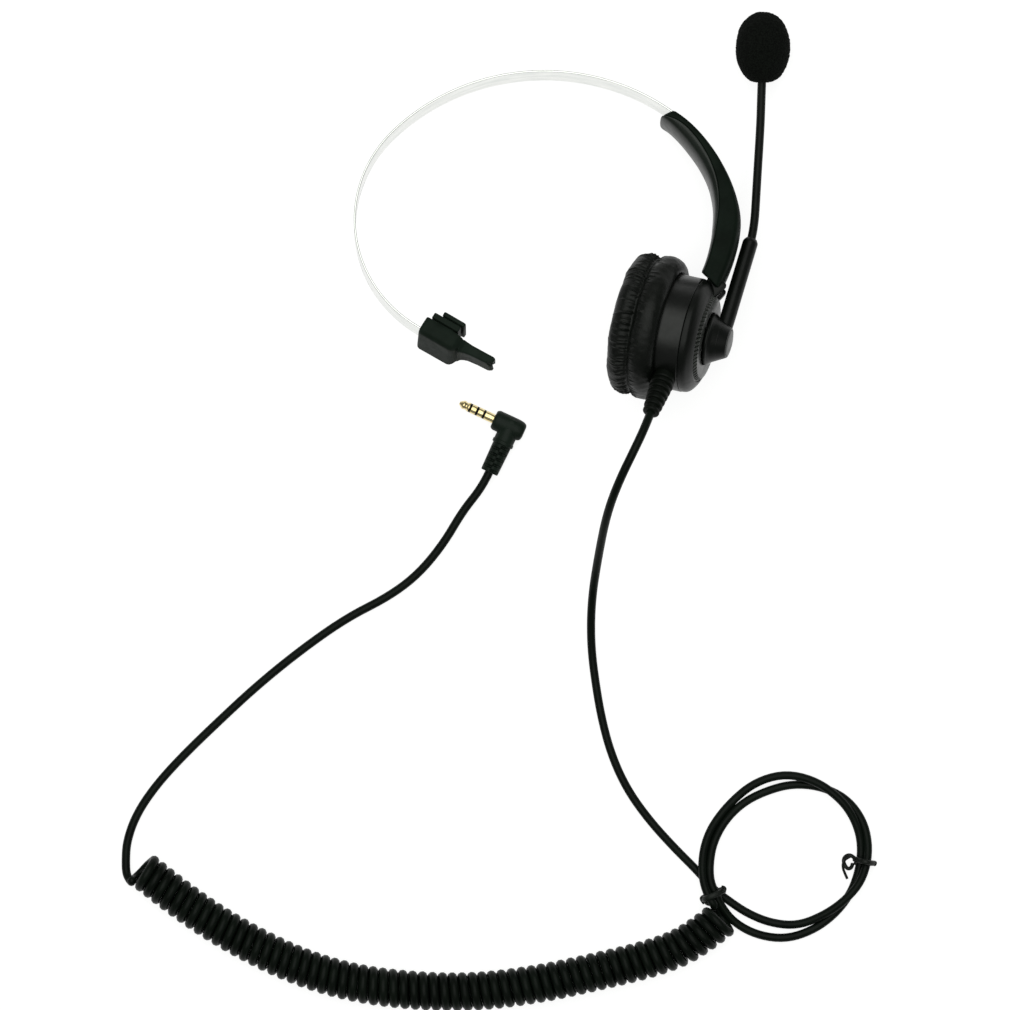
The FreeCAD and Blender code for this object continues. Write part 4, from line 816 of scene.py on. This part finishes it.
def make_hub():
    """Stepped, tapered knob: one outline turned about the cup's axis."""
    outline = [
        (3.5, 18.0), (3.5, HUB_BASE, 0.1), (9.6, HUB_BASE, 0.25), (9.75, 25.2, 0.4), (9.1, 25.6, 0.3),
        (8.35, 26.4, 0.3), (7.4, 28.2, 0.1), (7.3, 28.3, 0.05), (7.25, 28.5, 0.05), (7.1, 28.7, 0.1),
        (5.5, HUB_END, 0.4), (4.85, HUB_END, 0.15), (4.8, HUB_END - 1.0), (0.0, HUB_END - 1.0),
    ]
    piece("boom_knob", [shell(laid(lathe(outline, 128), BOOM))], "boom", "satin_abs", ["boom_hub"])
    cap = [(0.0, HUB_END - 0.95), (4.7, HUB_END - 0.95), (4.7, HUB_END + 0.15, 0.3),
           (3.6, HUB_END + 0.42, 0.8), (2.0, HUB_END + 0.5, 0.8), (0.0, HUB_END + 0.5)]
    piece("knob_cap", [shell(laid(lathe(cap, 96), BOOM))], "boom", "ring_abs", ["hub_cap"])


def make_sleeve():
    """Rigid foot of the boom: a round bar with a bevelled end round the tube."""
    outline = [
        (0.0, 3.5), (2.8, 3.5), (2.88, 9.6),
        (2.85, SLEEVE_END - 1.3, 0.5), (2.1, SLEEVE_END, 0.3), (1.65, SLEEVE_END, 0.1),
        (1.65, SLEEVE_END - 1.0), (0.0, SLEEVE_END - 1.0),
    ]
    along = place(moved(BOOM, z=SLEEVE_HEIGHT)[0], BOOM[1][0], BOOM[1][2])
    piece("boom_foot", [shell(laid(lathe(outline, 64), along))], "boom", "satin_abs", ["boom_sleeve"])


def make_gooseneck():
    """Bendable tube from the foot to the microphone, blended over the point where it bends."""
    bend = np.array(JOINTS["gooseneck_bend"]["pos_m"])
    root = laid([SLEEVE_END - 1.5, 0, SLEEVE_HEIGHT], BOOM)
    mouth = laid([SLEEVE_END + 1.0, 0, SLEEVE_HEIGHT], BOOM)
    into_foam = laid([0, 0, -6.2], FOAM)
    route = [root, mouth, *GOOSENECK, bend, *GOOSENECK_TIP, into_foam]
    line = spaced(smooth_line(np.array(route)), 150)
    neck = piece("gooseneck", [shell(tube(line, 1.58, 24))], None, "neck_rubber",
                 ["gooseneck_lower", "gooseneck_upper"])
    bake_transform(neck)


def make_windscreen():
    """Foam windscreen: an egg whose radius at polar angle t is R sin(t)^0.9, with a dimple where
    the neck goes in, roughened by two sizes of smooth noise."""
    half, radius, rows = 13.2, 10.05, 150
    t = np.linspace(0.0, math.pi, rows)[:, None]
    turn = np.linspace(0, 2 * math.pi, 220, endpoint=False)
    wide = radius * np.sin(t) ** 0.9
    height = -half * np.cos(t) - 0.6 + 0 * turn
    height += 1.0 * np.exp(-(wide / 2.0) ** 2) * (t < math.pi / 2)
    grid = np.stack([wide * np.cos(turn), wide * np.sin(turn), height], -1)
    skin = ripple(grid, 0.9, 31, 40) * 0.10 + ripple(grid, 1.9, 32, 40) * 0.09
    skin += ripple(grid, 7.0, 33) * 0.12
    away = grid / np.maximum(np.linalg.norm(grid, axis=-1, keepdims=True), 1e-9)
    grid += away * (skin * np.clip(wide / 1.5, 0, 1))[..., None]
    windscreen = piece("foam_cover", [shell(laid(grid, FOAM))], "mic_tip", "foam", ["foam_windscreen"], 80)


# ---------------------------------------------------------------- hinge, arm and headband
def make_stem():
    """Swivel stem: an eye round the hinge pin, and a collar and stem turned about the stem's axis."""
    eye_place = place(HINGE[0], band_normal, stem_axis)
    eye = [(1.15, -2.7), (2.4, -2.7, 0.25), (2.4, 2.7, 0.25), (1.15, 2.7)]
    stem = [(0.0, 1.6), (2.0, 1.6), (2.3, 2.2, 0.4), (2.9, 2.5, 0.25), (2.9, 3.1, 0.2), (2.2, 3.2, 0.1),
            (2.2, 10.6), (3.1, 10.6), (3.1, 12.4), (0.0, 12.4)]
    piece("swivel_pivot", [shell(laid(lathe(eye, 64, True), eye_place), True),
                           shell(laid(lathe(stem, 64), HINGE))],
          "swivel", "satin_abs", ["swivel_stem"])


ARM_ANGLES = (-24.6, 56.0)
ARM_HALF_DEPTH = 8.0
ARM_OUTER = ([-26, -18, -10, -2, 3, 8, 16, 24, 34, 54],
             [54.5, 54.7, 55.3, 56.0, 56.3, 56.1, 55.5, 54.9, 54.5, 54.2])
ARM_INNER = ([-26, -12, 0, 8, 20, 38, 46, 54], [45.7, 45.6, 46.0, 46.8, 47.5, 47.6, 48.1, 48.9])
ARM_SEAM = ([-26, -12, -2, 8, 18, 28, 38, 46, 51, 54, 58],
            [0.13, 0.13, 0.15, 0.22, 0.36, 0.50, 0.60, 0.62, 0.52, 0.30, 0.12])


def eased(angles, table, spread=3.0):
    """A smooth reading of a table: straight interpolation averaged over a few degrees."""
    nearby = np.linspace(-spread, spread, 17)[:, None]
    return np.interp(angles + nearby, *table).mean(0)


def arm_cover(low, high, corners, count=130):
    """One cover of the arm: at each angle a closed section between two radii, given as corners
    (share of the way out, share of the half depth, reach), carried round the arm's arc.

    Its ends draw in like a quarter circle, and both end faces lean: the low one so that the outer
    side and above all the upper side are longer.
    """
    angles = np.linspace(ARM_ANGLES[0], ARM_ANGLES[1], count)
    inner, outer = low(angles), high(angles)
    section = np.array([rounded([(a + (b - a) * share, deep * ARM_HALF_DEPTH, reach)
                                 for share, deep, reach in corners], True, 6)
                        for a, b in zip(inner, outer)])
    centre = section.mean(1, keepdims=True)
    from_end = np.minimum(angles - ARM_ANGLES[0], ARM_ANGLES[1] - angles) / 1.8
    scale = 0.82 + 0.18 * np.sqrt(1 - (1 - np.clip(from_end, 0, 1)) ** 2)
    section = centre + (section - centre) * scale[:, None, None]
    out = section[..., 0] - 50.0
    lean = np.clip((-12.0 - angles) / 12.6, 0, 1)[:, None] * (out * 0.008 + section[..., 1] * 0.0055)
    lean = lean + np.clip((angles - 46.0) / 10.0, 0, 1)[:, None] * out * 0.010
    spin = np.radians(angles)[:, None] - lean
    radius, depth = section[..., 0], section[..., 1]
    return np.stack([radius * np.cos(spin), radius * np.sin(spin), depth], -1)


def make_arm():
    """The arm's two covers, which meet at a seam that wanders down its side."""
    def inner_side(angles):
        return eased(angles, ARM_INNER)

    def outer_side(angles):
        return eased(angles, ARM_OUTER)

    def seam_radius(angles, gap):
        inner = inner_side(angles)
        return inner + (outer_side(angles) - inner) * eased(angles, ARM_SEAM, 1.5) + gap

    back = [(0, -1.0, 0.4), (0.5, -1.01, 2.0), (0.95, -0.95, 3.0), (1.07, 0, 6.0), (0.95, 0.95, 3.0),
            (0.5, 1.01, 2.0), (0, 1.0, 0.4), (0, 0, 1.0)]
    outer = arm_cover(lambda angles: seam_radius(angles, 0.02), outer_side, back)
    piece("arm_back", [shell(laid(outer, ARM))], "arm", "matte_abs", ["arm_outer_cover"])
    front = [(1, -0.99, 0.35), (0.7, -0.99, 2.0), (0.12, -0.80, 3.0), (-0.1, 0, 6.0), (0.12, 0.80, 3.0),
             (0.7, 0.99, 2.0), (1, 0.99, 0.35), (1, 0, 1.0)]
    inner = arm_cover(inner_side, lambda angles: seam_radius(angles, -0.02), front)
    piece("arm_lining", [shell(laid(inner, ARM))], "arm", "matte_abs", ["arm_inner_cover"],
          finish=ARM_INNER_FINISH)


def band_line(count=420):
    """The strip's middle line: its three arcs in turn and a straight tail, in the band's plane."""
    parts = []
    for middle, radius, ends in ((np.zeros(2), GRIP_RADIUS, GRIP_ANGLES),
                                 (crown_middle, CROWN_RADIUS, CROWN_ANGLES),
                                 (side_middle, SIDE_RADIUS, SIDE_ANGLES)):
        turn = np.radians(np.linspace(*ends, 80))
        parts.append(middle + radius * np.stack([np.cos(turn), np.sin(turn)], -1))
    tail = polar(12.0, SIDE_ANGLES[1] + 90)
    parts.append(strip_end + tail * np.linspace(0.05, 1, 8)[:, None])
    line = spaced(np.concatenate(parts), count)
    return np.c_[line, np.zeros(count)]


def make_steel_band():
    """Spring-steel strip: a thin rectangle with rolled edges carried along the band's line."""
    line = laid(band_line(), BAND)
    section = box_section(10.0 * MM, 0.8 * MM, 0.34 * MM)[:, ::-1]
    piece("spring_band", [shell(sweep(line, section, band_normal))], "headband", "spring_steel",
          ["steel_band"])


def loft(stations, outlines, count):
    """Outlines of equal size carried through stations: each row is a blend of its two neighbours."""
    where = np.linspace(stations[0], stations[-1], count)
    flat = np.array(outlines).reshape(len(stations), -1)
    rows = np.stack([np.interp(where, stations, column) for column in flat.T], -1)
    return where, rows.reshape(count, -1, 2)


def evened(outline, count=96):
    """A closed outline with equal steps, its first point where it leaves the +x side."""
    line = spaced(np.vstack([outline, outline[:1]]), count + 1)[:-1]
    middle = line.mean(0)
    turn = np.arctan2(line[:, 1] - middle[1], line[:, 0] - middle[0])
    return np.roll(line, -int(np.argmin(np.abs(turn))), 0)


def block_outline(grow=0.0):
    """The block's end view, y towards the head and z across the band: a dark slanted outer face, a
    narrow bevel and a crowned flank, less a margin that is small on the head's side."""
    inside = 4.3 - 0.1 * grow
    return evened(rounded([
        (-3.9 + grow, -8.2 + grow, 1.0), (inside, -8.5 + grow, 1.0), (inside, 8.4 - grow, 0.9),
        (2.2 + 0.3 * grow, 8.75 - grow, 3.0), (-1.3 + 0.7 * grow, 8.5 - grow, 0.5),
        (-2.6 + grow, 7.2 - grow, 0.6)], True, 5))


def stub_outline(shift, thick, deep):
    """The stub's end view: a rounded bar, set towards the head."""
    x, y = thick / 2, deep / 2
    return evened(rounded([(shift - x, -y, 1.2), (shift + x, -y, 1.2), (shift + x, y, 1.0),
                           (shift - x, y, 1.0)], True, 5))


def make_temple_block():
    """Block on the strip's end: its outline rounds off and runs through a hollow flare into the
    stub, whose end is notched along the line of sight; two flanges stand on its inner face."""
    length = 15.5
    stations = [0.5, 0.9, 1.6, 13.4, 14.4, 15.2, 15.7, 16.1, 16.6, 17.3, 18.6, 20.0, 24.0, 28.6, 29.3, 29.7]
    outlines = [block_outline(0.7), block_outline(0.25), block_outline(), block_outline(0.1),
                block_outline(0.4), block_outline(1.0), block_outline(1.6), block_outline(2.2)]
    flare = [(1.5, 5.6, 12.2), (1.9, 4.9, 11.0), (2.2, 4.3, 10.2), (2.4, 3.9, 9.6), (2.7, 3.6, 9.2),
             (2.9, 3.5, 9.2), (2.95, 3.2, 8.8), (2.95, 2.5, 8.0)]
    where, rows = loft(stations, outlines + [stub_outline(*size) for size in flare], 150)
    across = rows[..., 0] * math.cos(math.radians(17)) + rows[..., 1] * math.sin(math.radians(17))
    near_end = np.clip((where - 26.4) / 3.0, 0, 1)[:, None]
    notch = 1.7 * np.exp(-((across - 2.7) / 0.7) ** 4) + 0.9 * np.clip((0.9 - across) / 1.2, 0, 1)
    x = where[:, None] - notch * near_end
    shells = [shell(laid(np.stack([x, rows[..., 0], rows[..., 1]], -1), GRIP))]
    for low, trim_left, trim_right, thick in ((5.0, 1.4, 2.4, 2.3), (8.0, 4.2, 1.6, 1.6)):
        left, right = trim_left + 0.5, length - trim_right
        deep = 17.0 - 2.4 - (low - 5.1) * 0.5
        plate = box_section(right - left, deep, 0.8)
        web = box_section(right - left - 2.6, deep - 2.6, 0.5)
        middle = np.array([(left + right) / 2, 0.0])
        levels = [(low, plate * 0.95), (low + 0.2, plate), (low + thick - 0.2, plate),
                  (low + thick, plate * 0.95)]
        for flat in (levels, [(low - 1.1, web), (low + 0.3, web)]):
            grid = np.array([np.c_[flat_section[:, 0] + middle[0], np.full(len(flat_section), level),
                                   flat_section[:, 1]] for level, flat_section in flat])
            shells.append(shell(laid(grid, GRIP)))
    piece("temple_grip", shells, "headband", "block_rubber", ["temple_block"], 28)


# ---------------------------------------------------------------- cord
def curly(line):
    """Control points of the curly cord's right-handed helix about a line: at each point, the radius
    times the cosine to the side and the sine above, opened by what an order 3 spline takes off."""
    count = int(CURL_TURNS * CURL_POINTS) + 1
    centre = spaced(line, count)
    ahead = unit(np.gradient(centre, axis=0))
    side = unit(np.cross(UP, ahead))
    over = np.cross(ahead, side)
    angle = math.pi + np.linspace(0, 2 * math.pi * CURL_TURNS, count)[:, None]
    angle = angle + 0.10 * ripple(np.arange(count)[:, None] * [[1.0, 0, 0]], 45.0, 41)[:, None]
    cut = (1 + math.cos(2 * math.pi / CURL_POINTS / 2)) / 2
    reach = CURL_MEAN_RADIUS * MM / cut
    return centre + reach * (np.cos(angle) * side + np.sin(angle) * over)


def ring_points():
    """Control points of the two turns of spare cord, from their angles, radii and heights."""
    return [(*(RING_MIDDLE + polar(radius * MM, angle)), height * MM)
            for angle, radius, height in RING_TURNS]


def ring_spot(angle, radius, height):
    """A point of the ring's neighbourhood in metres."""
    return np.array([*(RING_MIDDLE + polar(radius * MM, angle)), height * MM])


def make_cord(with_pieces):
    """The whole cord as one spline: out of the ear cup, twice round the ring of spare cord, through
    the curly cord and up its lead to the plug."""
    mouth = laid([0, 0, 38.2], RELIEF)
    straight = laid([0, 0, 45.6], RELIEF)
    boot_end = laid([6.8, -18.4, 0], PLUG)
    before_boot = laid([6.8, -24.6, 0], PLUG)
    helix = curly(smooth_line(np.array(CURLY_CORD)))[::-1]
    route = np.array([mouth, straight, *HEADSET_CORD, *ring_points(), *helix, *PLUG_LEAD,
                      before_boot, boot_end])
    curve = bpy.data.curves.new("headset_lead", "CURVE")
    curve.dimensions = "3D"
    curve.resolution_u = 5
    thread(curve, route)
    first = len([mouth, straight, *HEADSET_CORD, *RING_TURNS])
    for point in curve.splines[0].points[first + CURL_EASE:first + len(helix) - CURL_EASE]:
        point.radius = CURL_SWELL
    curve.bevel_depth = CORD_RADIUS * MM
    curve.bevel_resolution = 3
    curve.use_fill_caps = True
    lead = dressed(bpy.data.objects.new("headset_lead", curve), "ear_cup", "cord_jacket",
                   ["headset_cord", "cord_ring", "curly_cord", "plug_lead"])


def wire(points, thick, steps=8, spread=80, wide=1.0):
    """A tie's strand along a smooth line through its control points: round, or wider than thick."""
    line = spaced(smooth_line(np.array(points), steps), spread)
    section = round_section(thick * MM, 12) * [wide, 1.0]
    ahead = unit(np.gradient(line, axis=0))
    side = unit(np.cross(UP, ahead) + [1e-4, 0, 0])
    over = np.cross(ahead, side)
    return shell(line[:, None] + section[:, :1] * side[:, None] + section[:, 1:] * over[:, None])


def make_tie_one():
    """Twist tie at the ring's right side: a loop about both strands, and its twisted ends inside."""
    spots = [(-5, 26.0, 3.2), (-5, 26.6, 0.55), (-5, 29.6, 0.55), (-4.6, 33.0, 0.7), (-4.4, 33.2, 2.4),
             (-4.4, 32.8, 4.4), (-4, 30.6, 7.2), (-3.5, 28.6, 7.0), (-2.5, 26.4, 4.6), (-2, 25.4, 3.4)]
    loop = wire([ring_spot(*spot) for spot in spots], 0.62, wide=1.6)
    end = [(-4.4, 32.2, 3.4), (-4.5, 33.0, 3.4), (-4.7, 33.5, 3.1)]
    nub = wire([ring_spot(*spot) for spot in end], 0.95, 8, 16)
    curl = [(-2.5, 26.2, 3.8), (0.5, 24.8, 4.6), (1.5, 23.2, 4.4), (-1.0, 21.8, 3.6), (-5, 21.6, 2.8),
            (-9, 22.4, 2.4), (-11.5, 23.6, 3.2), (-9.5, 25.0, 3.6), (-6, 25.0, 4.2)]
    twist = [(0, 24.0, 5.0), (-2, 22.4, 5.0), (-4.5, 21.8, 3.8), (-8, 21.5, 2.6), (-12, 21.9, 1.8),
             (-16, 23.0, 1.2), (-20.0, 24.5, 0.9)]
    shells = [loop, nub, wire([ring_spot(*spot) for spot in curl], 0.72),
              wire([ring_spot(*spot) for spot in twist], 0.5)]
    return piece("ring_tie_right", shells, "ear_cup", "tie_plastic", ["twist_tie_one"], 60)


def make_tie_two():
    """Twist tie at the ring's left side, about all the strands there, with short bent ends."""
    spots = [(208, 26.2, 3.4), (208, 26.6, 0.75), (207.5, 30.0, 0.75), (207, 33.2, 0.9), (207, 34.4, 3.2),
             (207.5, 34.2, 6.6), (208, 32.0, 8.9), (208.5, 28.6, 8.6), (209, 26.2, 6.4), (209, 25.9, 4.0)]
    shells = [wire([ring_spot(*spot) for spot in spots], 0.72, wide=1.6)]
    ends = [[(209, 26.8, 7.2), (209.5, 25.8, 7.6), (207, 25.0, 7.2), (205.5, 26.0, 6.6)],
            [(207, 33.4, 6.4), (205.5, 34.4, 5.8), (207.5, 35.0, 4.8), (210, 34.6, 4.4)],
            [(207, 33.6, 4.4), (210, 34.2, 5.4), (212.0, 33.4, 5.6), (213, 32.6, 5.0)]]
    shells += [wire([ring_spot(*spot) for spot in line], 0.62, 8, 30) for line in ends]
    return piece("ring_tie_left", shells, "ear_cup", "tie_plastic", ["twist_tie_two"], 60)


# ---------------------------------------------------------------- plug
JACK = 1.75
JACK_END = -14.0


def along_pin(outline, columns=64, looped=True):
    """An outline of radius and distance turned about the plug's pin."""
    at = place(PLUG[0], PLUG[1][0], PLUG[1][2])
    return shell(laid(lathe(outline, columns, looped), at), looped)


def make_contacts():
    """Tip, two rings and sleeve of the plug, and the dark rings between them."""
    core = 0.9
    tip = [(0.0, JACK_END), (0.55, JACK_END, 0.2), (JACK, JACK_END + 1.7, 0.5),
           (JACK * 0.72, JACK_END + 2.9, 0.5), (JACK, JACK_END + 3.6, 0.15), (JACK, JACK_END + 4.0),
           (core, JACK_END + 4.0), (0.0, JACK_END + 3.9)]
    parts = [piece("contact_tip", [along_pin(tip, 48, False)], "ear_cup", "gold_plate", ["plug_tip"])]
    bands = []
    for number, (name, node) in enumerate((("contact_ring_one", "plug_ring_one"),
                                           ("contact_ring_two", "plug_ring_two"),
                                           ("contact_sleeve", "plug_sleeve"))):
        low = JACK_END + 4.0 + 2.8 * number + 0.8
        high = JACK_END + 4.0 + 2.8 * (number + 1) if number < 2 else 0.0
        ring = [(core, low), (JACK, low, 0.12), (JACK, high, 0.12), (core, high)]
        parts.append(piece(name, [along_pin(ring)], "ear_cup", "gold_plate", [node]))
        bands.append(along_pin([(core, low - 0.8), (JACK - 0.06, low - 0.8, 0.05), (JACK - 0.06, low, 0.05),
                                (core, low)]))
    rod = [(0.0, JACK_END + 3.0), (core, JACK_END + 3.0), (core, 0.0), (0.0, 0.0)]
    bands.append(along_pin(rod, 32, False))
    parts.append(piece("contact_insulator", bands, "ear_cup", "insulator_plastic", ["plug_insulator"]))
    return parts


def make_plug_body():
    """Right-angle moulding: a barrel with a domed end and an oval hollow in it, and a leg with a
    collar at its foot."""
    barrel = [(0.0, 0.0), (3.2, 0.0, 0.4), (3.85, 0.9, 0.6), (3.9, 9.8, 2.0), (3.3, 11.9, 1.2),
              (1.7, 12.3, 0.8), (0.0, 12.3)]
    grid = lathe(barrel, 96, False, 8)
    hollow = np.exp(-((grid[..., 0] - 0.4) / 1.5) ** 4 - ((grid[..., 1] + 0.2) / 1.0) ** 4)
    grid[..., 2] -= hollow * np.clip((grid[..., 2] - 10.5) / 1.0, 0, 1) * 0.7
    at = place(PLUG[0], PLUG[1][0], PLUG[1][2])
    leg_at = place(moved(PLUG, x=6.8)[0], -PLUG[1][1], PLUG[1][0])
    leg = [(0.0, -2.9), (3.2, -2.9, 0.6), (3.75, -1.5, 0.6), (3.8, 5.9, 0.2), (4.05, 6.1, 0.15),
           (4.05, 7.3, 0.25), (3.4, 7.5, 0.1), (0.0, 7.5)]
    body = piece("plug_shell", [shell(laid(grid, at)), shell(laid(lathe(leg, 96), leg_at))], "ear_cup",
                 "plug_moulding", ["plug_body"])
    return [body, make_plug_boot(leg_at)]


def make_plug_boot(leg_at):
    """Slotted boot: a tapering tube whose radius drops in two staggered rows of short slots."""
    rows = 200
    along = np.linspace(0, 1, rows)[:, None]
    turn = np.linspace(0, 2 * math.pi, 120, endpoint=False)
    reach = 3.55 - 0.25 * along + 0 * turn
    step = 2.35
    height = 7.3 + along * 11.3
    for shift, way, slots in ((1.0, math.pi / 2 - 0.50, 5), (2.1, math.pi / 2 + 0.50, 4)):
        phase = (height - 7.3 - shift) / step
        cell = np.abs(phase - np.round(phase)) * step
        inside = (np.round(phase) >= 0) & (np.round(phase) < slots)
        gate = 1 / (1 + np.exp((cell - 0.45) / 0.04))
        away = np.abs((turn - way + math.pi) % (2 * math.pi) - math.pi)
        wide = 1 / (1 + np.exp((away - 0.46) / 0.04))
        reach = reach - 1.3 * gate * wide * inside
    edge = np.clip(np.minimum(along, 1 - along) * 11.3 / 0.45, 0, 1)
    reach = reach - 0.35 * (1 - np.sqrt(1 - (1 - edge) ** 2))
    grid = np.stack([reach * np.cos(turn), reach * np.sin(turn), height + 0 * turn], -1)
    return piece("plug_cord_boot", [shell(laid(grid, leg_at))], "ear_cup", "plug_moulding",
                 ["plug_boot"], 50)


# ---------------------------------------------------------------- CAD nodes that show as they are
def finish_nodes():
    """Give each CAD node that stays its own finish."""
    kept = {
        "cushion_plate": "plate_abs", "plate_screws": "screw_steel", "speaker_frame": "frame_steel",
        "diaphragm": "diaphragm_film", "speaker_magnet": "magnet_ferrite",
        "junction_board": "board_epoxy", "hinge_pin": "screw_steel", "hub_washer": "screw_steel",
        "hub_screw": "screw_steel", "mic_housing": "matte_abs", "mic_capsule": "capsule_alloy",
        "arm_screw": "screw_steel", "detent_slider": "slider_acetal",
    }
    for node, slot in kept.items():
        for holder in frame["nodes"][node].material_slots:
            holder.material = FINISHES[slot]


# ---------------------------------------------------------------- floor, light and camera
def make_stage():
    """Pale floor that glows a little, most of all to the camera, a wide soft light and a dim room."""
    mesh = bpy.data.meshes.new("floor")
    half = 6.0
    corners = [(-half, -half, 0), (half, -half, 0), (half, half, 0), (-half, half, 0)]
    mesh.from_pydata(corners, [], [(0, 1, 2, 3)])
    floor = bpy.data.objects.new("floor", mesh)
    floor.location.z = -0.0004
    material, tree, shader, _ = started("pale_floor", "#a0a0a0", 0.9, Specular_IOR_Level=0.0)
    seen = add(tree, "ShaderNodeLightPath").outputs["Is Camera Ray"]
    mirrored = add(tree, "ShaderNodeLightPath").outputs["Is Glossy Ray"]
    base = add(tree, "ShaderNodeMapRange", {"Value": seen, "To Min": 0.25, "To Max": 0.85})
    glow = add(tree, "ShaderNodeMapRange",
               {"Value": mirrored, "To Min": base.outputs["Result"], "To Max": 0.72})
    shader.inputs["Emission Color"].default_value = (1, 1, 1, 1)
    tree.links.new(glow.outputs["Result"], shader.inputs["Emission Strength"])
    mesh.materials.append(material)
    bpy.context.scene.collection.objects.link(floor)
    room = bpy.data.worlds.new("room")
    room.use_nodes = True
    room.node_tree.nodes["Background"].inputs["Color"].default_value = (1, 1, 1, 1)
    room.node_tree.nodes["Background"].inputs["Strength"].default_value = 0.2
    bpy.context.scene.world = room
    lamp = bpy.data.lights.new("softbox", "AREA")
    lamp.shape = "RECTANGLE"
    lamp.size = 5.0
    lamp.size_y = 7.0
    lamp.energy = 165.0
    lamp.color = (0.97, 1.0, 0.95)
    softbox = bpy.data.objects.new("softbox", lamp)
    softbox.location = (-0.3, 1.3, 4.6)
    bpy.context.scene.collection.objects.link(softbox)


def make_camera():
    """A long lens straight above the middle of the view."""
    sensor, height, view_width = 36.0, 4.0, 0.3737
    camera = bpy.data.cameras.new("camera")
    camera.sensor_width = sensor
    camera.lens = sensor * height / view_width
    camera.clip_start = 0.1
    camera.clip_end = 50.0
    holder = bpy.data.objects.new("camera", camera)
    holder.location = (-0.0253, -0.1082, height)
    bpy.context.scene.collection.objects.link(holder)
    bpy.context.scene.camera = holder


make_stage()
make_camera()
make_cord([make_tie_one(), make_tie_two(), *make_contacts(), *make_plug_body()])
make_ear_cushion()
make_front_shell()
make_rear_shell()
make_knurled_ring()
make_strain_relief()
make_hub()
make_sleeve()
make_gooseneck()
make_windscreen()
make_stem()
make_arm()
make_steel_band()
make_temple_block()
finish_nodes()
bpy.context.scene.view_settings.view_transform = "Standard"
